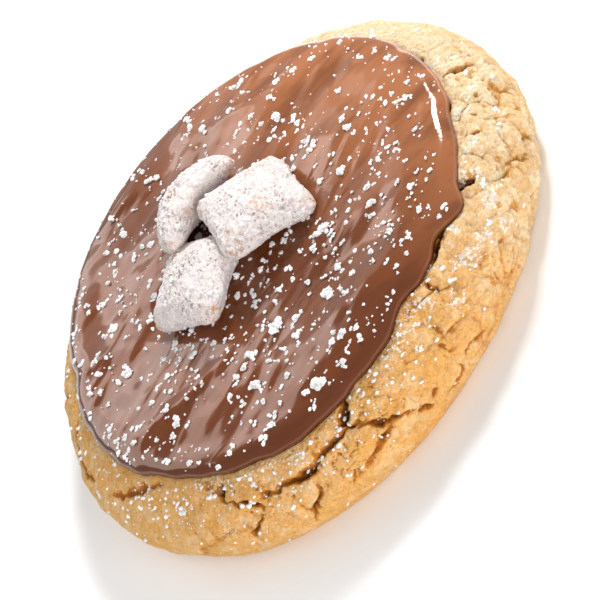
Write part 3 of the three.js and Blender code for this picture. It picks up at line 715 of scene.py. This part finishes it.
def ring_faces(rings, spokes):
    """Faces of a closed surface over a first pole, rings of equal count and a last pole, wound so that they
    face outward."""
    spoke = np.arange(spokes)
    after = (spoke + 1) % spokes
    first = np.stack([np.zeros(spokes, int), 1 + spoke, 1 + after], -1)
    last_row = 1 + spokes * (rings - 1)
    last = np.stack([np.full(spokes, last_row + spokes), last_row + after, last_row + spoke], -1)
    return first.tolist() + band_faces(1, rings, spokes) + last.tolist()


def ball_grid(spokes, rings):
    """Angles round a closed surface and heights between its poles, in radians, as a grid of rings."""
    heights = np.linspace(math.pi / 2, -math.pi / 2, rings + 2)[1:-1]
    return np.meshgrid(turns(spokes), heights)


def with_poles(values, first=0, last=0):
    """Numbers on a grid of rings as one row, with those of the two poles before and after."""
    return np.concatenate([[first], values.ravel(), [last]])


def add_attribute(piece, name, values):
    """Stores one number a vertex for the materials to read."""
    layer = piece.data.attributes.new(name, "FLOAT", "POINT")
    layer.data.foreach_set("value", np.ascontiguousarray(values, np.float32).ravel())


class Nodes:
    """Short hand for building a node material."""

    def __init__(self, name):
        self.material = bpy.data.materials.new(name)
        self.material.use_nodes = True
        self.tree = self.material.node_tree
        self.shader = self.tree.nodes["Principled BSDF"]
        self.place = self.tree.nodes.new("ShaderNodeTexCoord").outputs["Object"]

    def add(self, kind, inputs=None, **values):
        """A new node with its properties set and its inputs linked or filled in."""
        node = self.tree.nodes.new(kind)
        for key, value in values.items():
            setattr(node, key, value)
        for key, value in (inputs or {}).items():
            self.put(node.inputs[key], value)
        return node

    def put(self, socket, value):
        """Links an output to a socket, or sets its value."""
        if isinstance(value, bpy.types.NodeSocket):
            self.tree.links.new(value, socket)
        else:
            socket.default_value = value

    def noise(self, scale, detail=3.0, roughness=0.55, stretch=None, turn=0.0):
        """Noise texture in patterns a metre, drawn out along a direction given by a turn about Z."""
        place = self.place
        if stretch:
            place = self.add("ShaderNodeMapping", {"Vector": place, "Rotation": (0, 0, turn)}).outputs[0]
            place = self.add("ShaderNodeMapping", {"Vector": place, "Scale": stretch}).outputs[0]
        node = self.add("ShaderNodeTexNoise", {
            "Vector": place, "Scale": scale, "Detail": detail, "Roughness": roughness})
        return node.outputs["Fac"]

    def cells(self, scale):
        """Distance to the nearest seed of a cell texture, in cells a metre."""
        node = self.add("ShaderNodeTexVoronoi", {"Vector": self.place, "Scale": scale})
        return node.outputs["Distance"]

    def attribute(self, name):
        """A number stored at the vertices."""
        return self.add("ShaderNodeAttribute", attribute_name=name).outputs["Fac"]

    def ramp(self, value, low, high, start=0.0, end=1.0):
        """Value taken from low..high to start..end, smoothly and held outside."""
        node = self.add("ShaderNodeMapRange", {
            "Value": value, "From Min": low, "From Max": high, "To Min": start, "To Max": end},
            interpolation_type="SMOOTHSTEP")
        return node.outputs["Result"]

    def product(self, first, *others):
        """Values multiplied together."""
        for other in others:
            node = self.add("ShaderNodeMath", operation="MULTIPLY")
            self.put(node.inputs[0], first)
            self.put(node.inputs[1], other)
            first = node.outputs[0]
        return first

    def weighted(self, value, factor, extra, clamped=False):
        """A value times a factor plus an extra, held between 0 and 1 if it is clamped."""
        node = self.add("ShaderNodeMath", {0: value, 1: factor, 2: extra}, operation="MULTIPLY_ADD",
                        use_clamp=clamped)
        return node.outputs[0]

    def mix(self, factor, first, second):
        """Two colours mixed by a factor."""
        node = self.add("ShaderNodeMix", data_type="RGBA")
        self.put(node.inputs["Factor"], factor)
        self.put(node.inputs[6], first)
        self.put(node.inputs[7], second)
        return node.outputs[2]

    def scaled(self, colour, factor):
        """A colour made brighter or darker by a factor."""
        node = self.add("ShaderNodeVectorMath", {"Scale": factor}, operation="SCALE")
        self.put(node.inputs[0], colour if isinstance(colour, bpy.types.NodeSocket) else colour[:3])
        return node.outputs[0]

    def bump(self, height, distance, strength=1.0, normal=None):
        """Bumps of a height in metres."""
        inputs = {"Height": height, "Distance": distance, "Strength": strength}
        if normal:
            inputs["Normal"] = normal
        return self.add("ShaderNodeBump", inputs).outputs[0]

    def finish(self, **sockets):
        """Sets or links the shader's sockets, named with underscores for spaces."""
        for key, value in sockets.items():
            self.put(self.shader.inputs[key.replace("_", " ")], value)
        return self.material


def crust_colour(n, settings):
    """A tan crust, mottled, that pales to cream towards +X, partly baked less and partly painted light, and
    in soft patches.
    """
    patches = n.ramp(n.noise(140, 4), 0.42, 0.7, 0.0, 0.25)
    pale_and_lit = n.weighted(n.attribute("pale_and_lit"), 1.0, patches, clamped=True)
    colour = n.mix(pale_and_lit, settings.crust, settings.pale_lit_crust)
    return n.scaled(colour, n.ramp(n.noise(1300, 5, 0.75), 0.3, 0.7, 0.83, 1.12))


def speckled(n, colour, crumbly):
    """Brown specks and toasted spots, fewer where the dough is crumbly."""
    toasting = n.ramp(crumbly, 0.5, 1.0, 0.75, 0.1)
    specks = n.product(n.ramp(n.cells(1500), 0.12, 0.3, 1.0, 0.0), n.ramp(n.noise(900, 2), 0.44, 0.58))
    colour = n.mix(n.product(specks, toasting), colour, DOUGH_SPECK)
    toasted = n.product(n.ramp(n.noise(1900, 2), 0.58, 0.7), toasting, 0.66)
    return n.mix(toasted, colour, TOASTED)


def crumbled(n, colour, crumbly, crumbs, broken):
    """Painted shade in the hollows of the fine crumb and, where the dough is crumbly, of the broken crumb,
    with creamy crumb.
    """
    colour = n.mix(n.ramp(crumbs, 0.36, 0.52, 0.55, 0.0), colour, CRUMB_HOLLOW_SHADE)
    colour = n.mix(n.product(n.ramp(broken, 0.4, 0.52, 0.4, 0.0), crumbly), colour, BROKEN_CRUST_SHADE)
    cream = n.ramp(n.noise(330, 4, 0.7), 0.47, 0.62, 0.0, 0.6)
    return n.mix(n.product(cream, crumbly), colour, CREAMY_CRUMB)


def torn_open(n, colour, crumbly, settings):
    """The crumb's colour where the dough is torn, golden between lumps, and the deep one in the cracks,
    partly painted shade.
    """
    torn = n.weighted(n.noise(1700, 4, 0.7), 0.7, n.attribute("depth"))
    golden = n.mix(n.ramp(crumbly, 0.5, 1.0, 0.0, 0.85), settings.crumb, TORN_CRUMB_AND_SHADE)
    colour = n.mix(n.ramp(torn, 0.47, 0.9), colour, golden)
    return n.mix(n.ramp(torn, 0.95, 1.8), colour, settings.deep_crumb_and_shade)


def sugared(n, colour):
    """Sugar that has settled and half melted, in small clusters."""
    dusted = n.weighted(n.attribute("dust"), 0.4, n.noise(1500, 4, 0.7))
    return n.mix(n.ramp(dusted, 0.71, 0.83, 0.0, 0.9), colour, MELTED_SUGAR)


def dough_material(settings):
    """Baked dough: a tan crust that pales to cream on one side, partly as painted light, golden where it is
    torn and brown deep in the cracks, partly as painted shade, with brown specks, fine crumb with painted
    shade in its hollows, painted shade on the far side and a dusting of sugar."""
    n = Nodes("Baked dough")
    crumbly = n.attribute("crumbly")
    crumbs = n.noise(2200, 4, 0.7)
    broken = n.noise(620, 4, 0.65)
    colour = speckled(n, crust_colour(n, settings), crumbly)
    colour = crumbled(n, colour, crumbly, crumbs, broken)
    colour = sugared(n, torn_open(n, colour, crumbly, settings))
    # Painted shade: darker on the far part of the rim
    colour = n.scaled(colour, n.ramp(n.attribute("far"), 0.0, 1.0, 1.0, 0.84))
    relief = n.bump(crumbs, 0.0006, 0.9)
    relief = n.bump(n.cells(1300), 0.0004, 0.45, relief)
    relief = n.bump(n.product(broken, crumbly), 0.0018, 0.65, relief)
    return n.finish(Base_Color=colour, Roughness=0.82, Normal=relief, Specular_IOR_Level=0.2,
                    Subsurface_Weight=0.45, Subsurface_Radius=(1.0, 0.45, 0.15), Subsurface_Scale=0.0014)


def chocolate_material(settings):
    """Glossy milk chocolate with faint darker streaks and fine drag lines along the spoon's strokes."""
    n = Nodes("Milk chocolate")
    streaks = n.ramp(n.noise(150, 4, 0.6, stretch=(0.3, 1.0, 1.0), turn=0.2), 0.4, 0.66)
    # Painted light: lighter towards +X, where the key light falls
    colour = n.mix(n.attribute("pale_and_lit"), settings.milk, settings.pale_and_lit)
    colour = n.mix(n.product(streaks, 0.6), colour, settings.dark_streaks_and_shade)
    # Painted shade: darker round the lip on the left side, away from the key light
    colour = n.mix(n.product(n.attribute("lip"), 0.7), colour, settings.dark_streaks_and_shade)
    lines = n.noise(900, 3, 0.5, stretch=(0.1, 1.0, 1.0), turn=0.2)
    where = n.ramp(n.noise(90, 2), 0.42, 0.6)
    fine = n.bump(n.product(lines, where), 0.0001, 0.5)
    return n.finish(Base_Color=colour, Roughness=settings.gloss_roughness, Normal=fine, IOR=1.65,
                    Specular_Tint=(1.0, 0.7, 0.57, 1.0), Subsurface_Weight=0.1,
                    Subsurface_Radius=(1.0, 0.4, 0.2), Subsurface_Scale=0.0008)


def sugar_material(settings):
    """Matt white icing sugar."""
    n = Nodes("Icing sugar")
    colour = n.scaled(settings.sugar, n.ramp(n.noise(3000, 3), 0.3, 0.7, 0.97, 1.0))
    return n.finish(Base_Color=colour, Roughness=0.9, Normal=n.bump(n.noise(6000, 3), 0.0001, 0.4),
                    Subsurface_Weight=0.6, Subsurface_Radius=(1.0, 0.95, 0.95), Subsurface_Scale=0.0006)


def cereal_material(settings):
    """Cereal under a thick rough coat of sugar, with painted shade in its pores and pits and bare where the
    coat has worn off.
    """
    n = Nodes("Sugared cereal")
    open_coat = n.ramp(n.noise(380, 2), 0.36, 0.6)
    fine = n.product(n.ramp(n.noise(2400, 4, 0.75), 0.42, 0.52, 1.0, 0.0), open_coat, 0.6)
    colour = n.mix(fine, settings.coat, settings.pore_shade)
    # Painted shade in the pits of the coat
    colour = n.mix(n.product(n.ramp(n.attribute("hollow"), 0.15, 0.8), 0.7), colour, settings.pore_shade)
    # Painted shadow: near-black specks for tiny pores
    grains = n.product(n.ramp(n.cells(2000), 0.14, 0.3, 1.0, 0.0), n.ramp(n.noise(600, 2), 0.46, 0.6), 0.75)
    colour = n.mix(grains, colour, PORE_SHADOW_SPECK)
    colour = n.mix(n.ramp(n.attribute("heaped"), 0.2, 0.7), colour, HEAPED_SUGAR)
    worn = n.product(n.attribute("worn"), n.ramp(n.noise(1300, 4, 0.7), 0.5, 0.6))
    colour = n.mix(worn, colour, settings.biscuit)
    rough = n.bump(n.noise(3000, 5, 0.75), 0.0006, 0.8)
    return n.finish(Base_Color=colour, Roughness=0.92, Normal=rough, Subsurface_Weight=0.1,
                    Subsurface_Radius=(1.0, 0.9, 0.85), Subsurface_Scale=0.0004)


def dress(piece, material, slot, *nodes):
    """Gives a piece its material and lets it stand for the solid's nodes by hiding them; the slot is not
    used.
    """
    piece.data.materials.append(material)
    if nodes:
        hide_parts(*nodes)


class COOKIE_OT_bake_dough(bpy.types.Operator):
    """Bake the craggy disc of dough"""

    bl_idname = "cookie.bake_dough"
    bl_label = "Bake dough"

    def execute(self, context):
        settings = context.scene.cookie_dough
        angle, distance = np.meshgrid(turns(DOUGH_SPOKES), self.rows())
        points, depth, bare = dough_surface(angle, distance, settings)
        top, bottom = (0, 0, CROWN_HEIGHT - UNDER_SPREAD), (0, 0, 0)
        piece = mesh_object("Dough", np.concatenate([[top], points.reshape(-1, 3), [bottom]]),
                            ring_faces(len(distance), DOUGH_SPOKES))
        add_attribute(piece, "depth", with_poles(depth))
        for name, values in self.marks(points, angle, bare).items():
            add_attribute(piece, name, with_poles(values))
        dress(piece, dough_material(settings), "dough", "cookie")
        return {"FINISHED"}

    def rows(self):
        """Distances of the rows along the section, close together where the dough is bare."""
        foot = SECTION_LENGTH - FOOT_LENGTH
        return np.concatenate([
            section_distance(np.array(COVERED_RADII)),
            np.linspace(section_distance(OPEN_RADIUS), foot, DOUGH_ROWS),
            np.linspace(foot, SECTION_LENGTH, FOOT_ROWS)[1:],
        ])

    def marks(self, points, angle, bare):
        """How dusted, paler (partly painted light), crumbly and far (for painted shade) each point is, from 0
        to 1.
        """
        lumpy = lumpy_share(angle)
        dust = eased(bare, -1, 0.3) * (1 - eased(bare, 1.5, 6.5)) * (0.3 + 0.4 * soft_noise(points, 6, 83))
        patches = eased(soft_noise(points, 2.6, 84), 0.0, 0.5) * (1 - eased(bare, 5, 9))
        dust = np.maximum(dust, 0.65 * patches * lumpy) * eased(points[..., 2], 5, 10)
        # Paler towards +X and less so on the wall: partly baked less, partly painted light where the key
        # light falls
        pale_and_lit = eased(points[..., 0] + 0.2 * points[..., 1], -8, 46) * (1 - 0.5 * eased(bare, 5, 9))
        crumbly = 0.45 + 0.55 * lumpy * eased(points[..., 0], 18, 36)
        crumbly = crumbly * eased(bare, -1, 1) * eased(points[..., 2], 0.3, 4)
        # Painted shade on the far part of the rim
        far = 1 - eased(degrees_from(angle, SHADED_FAR_MIDDLE), *SHADED_FAR_REACH)
        return {"dust": dust, "pale_and_lit": pale_and_lit, "crumbly": crumbly, "far": far}


class COOKIE_OT_spread_chocolate(bpy.types.Operator):
    """Spread the chocolate over the dough"""

    bl_idname = "cookie.spread_chocolate"
    bl_label = "Spread chocolate"

    def execute(self, context):
        settings = context.scene.cookie_chocolate
        angle = turns(SPREAD_SPOKES)
        radius = spread_radius(angle)
        height = self.top_height(settings)
        top = [self.row(angle, radius - inset, height) for inset in self.top_insets(radius)]
        under = [self.row(angle, radius - inset, self.under_height(inset)) for inset in UNDERSIDE_INSETS]
        poles = np.array([[0, 0, float(spread_height(0.0, 0.0))], [0, 0, CROWN_HEIGHT + GAP]])
        points = np.concatenate([poles[:1], *top, *under, poles[1:]])
        piece = mesh_object("Chocolate", points, ring_faces(len(top) + len(under), SPREAD_SPOKES))
        out = np.hypot(points[:, 0], points[:, 1]) - spread_radius(np.arctan2(points[:, 1], points[:, 0]))
        # Painted shade round the lip on the left side, away from the key light
        add_attribute(piece, "lip", eased(out, -3.2, -0.8) * (1 - eased(points[:, 0], -10, 30)))
        # Painted light: lighter towards +X, where the key light falls
        add_attribute(piece, "pale_and_lit", eased(0.9 * points[:, 0] + 0.12 * points[:, 1], -4, 40))
        dress(piece, chocolate_material(settings), "chocolate", "chocolate")
        return {"FINISHED"}

    def top_insets(self, radius):
        """How far in from the edge each row of the top is: even to the lip, then closer down its curve."""
        shares = np.linspace(0.015, 1, SPREAD_ROWS)
        inner = [(1 - share) * (radius - LIP_WIDTH) + LIP_WIDTH for share in shares]
        lip = [LIP_WIDTH * (1 - math.sin(turn)) for turn in np.linspace(0, math.pi / 2, LIP_ROWS)[1:]]
        return inner + lip

    def row(self, angle, radius, height):
        """Points round the middle at given radii, with heights from a function of x and y."""
        x, y = radius * np.cos(angle), radius * np.sin(angle)
        return np.stack([x, y, height(x, y)], -1)

    def under_height(self, inset):
        """The underside's height at an inset: the dough's, and a gap that closes towards the edge."""
        return lambda x, y: dough_height(x, y) + GAP * min(inset, 1)

    def top_height(self, settings):
        """The spread's height with fine drag lines, long along X and close together across it."""
        def height(x, y):
            drawn_out = np.stack([0.16 * (x + 0.2 * y), y - 0.2 * x, 0 * x], -1)
            lines = soft_noise(drawn_out, 1.3, 103) * eased(soft_noise(drawn_out, 5, 105), -0.1, 0.4)
            ripples = layered_noise(drawn_out * (2.2, 1, 1), 5.5, 2, 111)
            ripples = ripples + 0.45 * soft_noise(drawn_out * (4, 1, 1), 2.4, 113)
            inset = spread_radius(np.arctan2(y, x)) - np.hypot(x, y)
            unrest = (settings.drag_height * lines + settings.ripple_height * ripples) / MM
            return spread_height(x, y) + unrest * eased(inset, 1, 6)
        return height


class COOKIE_OT_set_cereal(bpy.types.Operator):
    """Set the three sugared cereal pillows into the chocolate"""

    bl_idname = "cookie.set_cereal"
    bl_label = "Set cereal"

    def execute(self, context):
        settings = context.scene.cookie_cereal
        material = cereal_material(settings)
        angle, height = ball_grid(PILLOW_SPOKES, PILLOW_RINGS)
        angle, height = with_poles(angle), with_poles(height, math.pi / 2, -math.pi / 2)
        for order, name in enumerate(PILLOWS):
            smooth = pillow_surface(name, angle, height)
            outward = smooth - np.array(PILLOWS[name][0])
            outward /= np.linalg.norm(outward, axis=1, keepdims=True)
            relief, hollow, heaped = self.coat_relief(smooth + PILLOW_APART * order, settings)
            piece = mesh_object(name.replace("cereal", "Cereal"), smooth + relief[:, None] * outward,
                                ring_faces(PILLOW_RINGS, PILLOW_SPOKES))
            # The pits' mask, for painted shade in the material
            add_attribute(piece, "hollow", hollow)
            add_attribute(piece, "heaped", heaped)
            add_attribute(piece, "worn", self.wear(smooth, angle, height))
            dress(piece, material, "sugared_cereal", name)
        return {"FINISHED"}

    def wear(self, smooth, angle, height):
        """How far the coat has worn off, from 0 to 1: at the corners, and in a few spots elsewhere."""
        corner = np.abs(np.sin(2 * angle)) ** 6 * np.cos(height) ** 4
        worn = eased(corner, 0.4, 0.85) * eased(soft_noise(smooth, 5, 107), -0.15, 0.25)
        return np.maximum(worn, 0.6 * eased(soft_noise(smooth, 4, 109), 0.3, 0.6))

    def coat_relief(self, points, settings):
        """Millimetres that the sugar coat rises, with how hollow and how heaped it is from 0 to 1."""
        shaken = points + 0.3 * soft_noise(points, 0.6, 89)[:, None]
        pit, _ = cell_distances(shaken, 0.8, 91)
        pitted = eased(soft_noise(points, 2.6, 90), -0.35, 0.3)
        hollow = (1 - eased(pit, 0.15, 0.45)) * pitted
        heap, _ = cell_distances(shaken, 1.3, 99)
        heaped = (1 - eased(heap, 0.15, 0.5)) * eased(soft_noise(points, 3.1, 98), -0.1, 0.3)
        waves = 0.26 * layered_noise(points, 3.6, 2, 93) + 0.22 * layered_noise(points, 1.0, 3, 97)
        return waves + 0.34 * heaped - settings.pit_depth / MM * hollow, hollow, heaped


def lumps_mesh(name, centres, sizes, spokes, rings, seed):
    """Many rough lumps as one mesh: the unit ball dented at random, scaled unevenly to each lump's size and
    turned about Z."""
    angle, height = ball_grid(spokes, rings)
    ball = np.stack([np.cos(height) * np.cos(angle), np.cos(height) * np.sin(angle), np.sin(height)], -1)
    ball = np.concatenate([[[0, 0, 1]], ball.reshape(-1, 3), [[0, 0, -1]]])
    chance = np.random.default_rng(seed)
    count = len(centres)
    stretch = chance.uniform(0.6, 1.35, (count, 3)) * sizes[:, None] * (0.5, 0.5, 0.3)
    turn = chance.uniform(0, 2 * np.pi, count)
    dents = 1 + chance.uniform(-0.3, 0.3, (count, len(ball)))
    local = ball[None] * dents[..., None] * stretch[:, None]
    c, s = np.cos(turn)[:, None], np.sin(turn)[:, None]
    along, across, up = np.moveaxis(local, -1, 0)
    points = np.stack([c * along - s * across, s * along + c * across, up], -1) + centres[:, None]
    offsets = np.arange(count)[:, None, None] * len(ball)
    faces = ring_faces(rings, spokes)
    all_faces = []
    for corners in (3, 4):
        alike = np.array([face for face in faces if len(face) == corners])
        all_faces += (alike[None] + offsets).reshape(-1, corners).tolist()
    return mesh_object(name, points, all_faces, smooth=False)


def clear_of_pillows(points, margin):
    """True where a point is outside every cereal pillow by a margin, taking each as a squarish ball."""
    clear = np.ones(len(points), bool)
    for name, (_, _, size, bend, _) in PILLOWS.items():
        rotation, middle = pillow_matrix(name)
        local = (points - middle) @ rotation
        local[:, 2] += local[:, 0] ** 2 / (2 * bend)
        share = np.abs(local) / (np.array(size) / 2 + margin)
        clear &= (share[:, 0] ** 4 + share[:, 1] ** 4) ** 0.5 + share[:, 2] ** 2 > 1
    return clear


def solid_clumps(count, first, inner_radius, outer_radius):
    """Angles, radii and sizes of the solid's sugar clumps, at even turns by the golden angle."""
    item = np.arange(count)
    share = (item + 0.5 + 0.5 * draw(first + item, 6)) / (count + 0.5)
    radius = np.sqrt(inner_radius**2 + (outer_radius**2 - inner_radius**2) * share)
    size = CLUMP_SIZE[0] + (CLUMP_SIZE[1] - CLUMP_SIZE[0]) * draw(first + item, 1) ** 2
    return item * GOLDEN_ANGLE + 0.35 * draw(first + item, 7), radius, size


class COOKIE_OT_dust_sugar(bpy.types.Operator):
    """Dust icing sugar over the chocolate and the rim"""

    bl_idname = "cookie.dust_sugar"
    bl_label = "Dust sugar"

    def execute(self, context):
        settings = context.scene.cookie_sugar
        dough = context.scene.cookie_dough
        material = sugar_material(settings)
        chance = np.random.default_rng(SUGAR_SEED)
        for piece in (
            self.specks_on_chocolate(chance, settings.specks),
            self.grains_on_chocolate(chance, settings.grains),
            self.flakes_on_dough(chance, settings.flakes, dough),
            self.clumps_on_rim(chance, dough),
        ):
            dress(piece, material, "icing_sugar")
        return {"FINISHED"}

    def places_on_chocolate(self, chance, count, reach):
        """Random places on the spread, thinned where slow noise is low and on the far side."""
        angle = chance.uniform(0, 2 * np.pi, 4 * count)
        radius = reach * spread_radius(angle) * np.sqrt(chance.uniform(0, 1, 4 * count))
        x, y = radius * np.cos(angle), radius * np.sin(angle)
        points = np.stack([x, y, spread_height(x, y)], -1)
        density = 0.5 - 0.12 * eased(y, -25, 25) + 0.4 * soft_noise(points, 7, 101)
        kept = clear_of_pillows(points, 0.4) & (chance.uniform(0, 1.1, 4 * count) < density)
        return points[kept][:count]

    def heaps_of_lumps(self, chance, x, y, sizes, parts):
        """Places and sizes of the lumps that make up heaps of given sizes on the chocolate."""
        shape = (len(sizes), parts)
        away = chance.normal(0, 0.22, shape + (2,)) * sizes[:, None, None]
        lump_sizes = sizes[:, None] * chance.uniform(0.45, 0.85, shape)
        lump_x, lump_y = (x[:, None] + away[..., 0]).ravel(), (y[:, None] + away[..., 1]).ravel()
        lump_sizes = lump_sizes.ravel()
        lift = 0.12 * np.minimum(lump_sizes, 1.2)
        return np.stack([lump_x, lump_y, spread_height(lump_x, lump_y) + lift], -1), lump_sizes

    def specks_on_chocolate(self, chance, count):
        """The solid's clumps and heaps, and many smaller ones between them."""
        places = self.places_on_chocolate(chance, count, 0.985)
        sizes = np.clip(0.81 * np.exp(0.36 * chance.normal(0, 1, len(places))), 0.35, 1.6)
        lumps, lump_sizes = self.heaps_of_lumps(chance, places[:, 0], places[:, 1], sizes, LUMPS_IN_SPECK)
        angle, radius, clump_sizes = solid_clumps(CLUMPS_ON_SPREAD, 0, *SPREAD_CLUMP_RADII)
        heaps = np.array(HEAPS, float)
        x = np.concatenate([radius * np.cos(angle), heaps[:, 0]])
        y = np.concatenate([radius * np.sin(angle), heaps[:, 1]])
        clear = clear_of_pillows(np.stack([x, y, spread_height(x, y)], -1), 1.0)
        clump_sizes = 0.82 * np.concatenate([clump_sizes, heaps[:, 2]])[clear]
        large, large_sizes = self.heaps_of_lumps(chance, x[clear], y[clear], clump_sizes, LUMPS_IN_HEAP)
        return lumps_mesh("Sugar_Specks", np.concatenate([lumps, large]),
                          np.concatenate([lump_sizes, large_sizes]), 7, 4, SPECK_SEED)

    def grains_on_chocolate(self, chance, count):
        """Single fine grains between the specks."""
        centres = self.places_on_chocolate(chance, count, 0.99)
        sizes = chance.uniform(0.2, 0.5, len(centres))
        centres[:, 2] += 0.15 * sizes
        return lumps_mesh("Sugar_Grains", centres, sizes, 6, 3, GRAIN_SEED)

    def flakes_on_dough(self, chance, count, dough):
        """Thin flakes on the bare dough, most of them near the camera and close to the chocolate."""
        angle = chance.uniform(0, 2 * np.pi, 3 * count)
        out = np.abs(chance.normal(0, 5.5, 3 * count)) + 0.2
        near = 1 - eased(degrees_from(angle, FLAKES_MIDDLE), *FLAKES_REACH)
        kept = chance.uniform(0, 1, 3 * count) < 0.05 + 0.95 * near
        angle, out = angle[kept][:count], out[kept][:count]
        distance = section_distance(spread_radius(angle)) + out
        points, _, _ = dough_surface(angle, distance, dough)
        sizes = 0.26 + 0.75 * chance.uniform(0, 1, len(points)) ** 2.5
        centres = points + 0.1 * sizes[:, None] * dough_normal(angle, distance)
        return lumps_mesh("Sugar_Flakes", centres, sizes, 7, 4, FLAKE_SEED)

    def clumps_on_rim(self, chance, dough):
        """The solid's clumps on the bare dough, each as a few lumps."""
        clumps = solid_clumps(CLUMPS_ON_RIM, FIRST_RIM_CLUMP, *RIM_CLUMP_RADII)
        angle, radius, sizes = (np.repeat(values, LUMPS_IN_RIM_CLUMP) for values in clumps)
        angle = angle + 0.3 * chance.normal(0, 1, len(sizes)) * sizes / CHART_RADIUS
        radius = radius + 0.2 * chance.normal(0, 1, len(sizes)) * sizes
        points, _, _ = dough_surface(angle, section_distance(radius), dough)
        sizes = sizes * chance.uniform(0.35, 0.65, len(sizes))
        return lumps_mesh("Sugar_On_Rim", points, sizes, 7, 4, RIM_CLUMP_SEED)


class COOKIE_OT_set_stage(bpy.types.Operator):
    """Lay the floor, hang the lights and place the camera"""

    bl_idname = "cookie.set_stage"
    bl_label = "Set stage"

    def execute(self, context):
        settings = context.scene.cookie_stage
        self.floor(settings)
        self.lights(context, settings)
        self.camera(context)
        context.scene.view_settings.view_transform = "Standard"
        return {"FINISHED"}

    def floor(self, settings):
        """A round table top, open where the cookie stands, so that the underside shows from below."""
        angle = turns(FLOOR_SPOKES)
        outline = np.stack([np.cos(angle), np.sin(angle), 0 * angle], -1)
        rings = np.concatenate([FLOOR_OPENING * outline, FLOOR_RADIUS * outline])
        floor = scene_mesh("Floor", rings, band_faces(0, 2, FLOOR_SPOKES), smooth=False)
        n = Nodes("Pale table")
        colour = n.scaled(settings.floor, n.ramp(n.noise(6, 2), 0.3, 0.7, 0.985, 1.0))
        floor.data.materials.append(n.finish(Base_Color=colour, Roughness=0.9))

    def soft_light(self, name, power):
        """A rectangular light that faces the cookie, where its row in LIGHTS says."""
        azimuth, elevation, distance, size = LIGHTS[name]
        data = bpy.data.lights.new(name, "AREA")
        data.shape = "RECTANGLE"
        data.size, data.size_y = size
        data.energy = power
        light = bpy.data.objects.new(name, data)
        a, e = math.radians(azimuth), math.radians(elevation)
        offset = Vector((math.cos(e) * math.cos(a), math.cos(e) * math.sin(a), math.sin(e))) * distance
        light.location = offset + Vector((0, 0, LIGHTS_AIM))
        light.rotation_euler = offset.to_track_quat("Z", "Y").to_euler()
        bpy.context.collection.objects.link(light)
        return light

    def lights(self, context, settings):
        """White surroundings and four soft lights. The fill doesn't show in the chocolate's gloss."""
        world = bpy.data.worlds.new("Studio")
        world.use_nodes = True
        background = world.node_tree.nodes["Background"]
        background.inputs["Color"].default_value = (1, 1, 1, 1)
        background.inputs["Strength"].default_value = settings.sky
        context.scene.world = world
        self.soft_light("Soft box", settings.soft_box)
        self.soft_light("Key", settings.key)
        self.soft_light("Reflector", settings.reflector)
        fill = self.soft_light("Fill", settings.fill)
        fill.visible_glossy = False

    def camera(self, context):
        """Looks at the cookie from in front of it and above, turned about its own view."""
        data = bpy.data.cameras.new("Camera")
        data.sensor_fit = "HORIZONTAL"
        data.sensor_width = 36.0
        data.lens = CAMERA_LENS
        data.clip_start = 0.01
        camera = bpy.data.objects.new("Camera", data)
        e, roll = math.radians(CAMERA_ELEVATION), math.radians(CAMERA_ROLL)
        look = Vector((0, math.cos(e), -math.sin(e)))
        level, upright = Vector((1, 0, 0)), Vector((0, math.sin(e), math.cos(e)))
        right = level * math.cos(roll) - upright * math.sin(roll)
        up = level * math.sin(roll) + upright * math.cos(roll)
        place = (Vector(CAMERA_AIM) - look * CAMERA_DISTANCE) * MM
        turn = Matrix((right, up, -look)).transposed().to_4x4()
        camera.matrix_world = Matrix.Translation(place) @ turn
        bpy.context.collection.objects.link(camera)
        context.scene.camera = camera


class COOKIE_PT_panel(bpy.types.Panel):
    """Lists the steps of making the cookie."""

    bl_idname = "COOKIE_PT_panel"
    bl_label = "Cookie"
    bl_space_type = "VIEW_3D"
    bl_region_type = "UI"
    bl_category = "Cookie"

    def draw(self, context):
        for step in STEPS:
            self.layout.operator(step.bl_idname)


SETTINGS = {
    "cookie_dough": DoughSettings,
    "cookie_chocolate": ChocolateSettings,
    "cookie_cereal": CerealSettings,
    "cookie_sugar": SugarSettings,
    "cookie_stage": StageSettings,
}
STEPS = (
    COOKIE_OT_bake_dough,
    COOKIE_OT_spread_chocolate,
    COOKIE_OT_set_cereal,
    COOKIE_OT_dust_sugar,
    COOKIE_OT_set_stage,
)


def register():
    """Adds the settings, the steps and the panel to Blender."""
    for group in SETTINGS.values():
        bpy.utils.register_class(group)
    for name, group in SETTINGS.items():
        setattr(bpy.types.Scene, name, bpy.props.PointerProperty(type=group))
    for step in STEPS:
        bpy.utils.register_class(step)
    bpy.utils.register_class(COOKIE_PT_panel)


def unregister():
    """Takes away what register adds, in the opposite order."""
    bpy.utils.unregister_class(COOKIE_PT_panel)
    for step in reversed(STEPS):
        bpy.utils.unregister_class(step)
    for name, group in reversed(SETTINGS.items()):
        delattr(bpy.types.Scene, name)
        bpy.utils.unregister_class(group)


def main():
    """Makes the cookie and its stage."""
    register()
    bpy.ops.cookie.bake_dough()
    bpy.ops.cookie.spread_chocolate()
    bpy.ops.cookie.set_cereal()
    bpy.ops.cookie.dust_sugar()
    bpy.ops.cookie.set_stage()


if __name__ == "__main__":
    main()
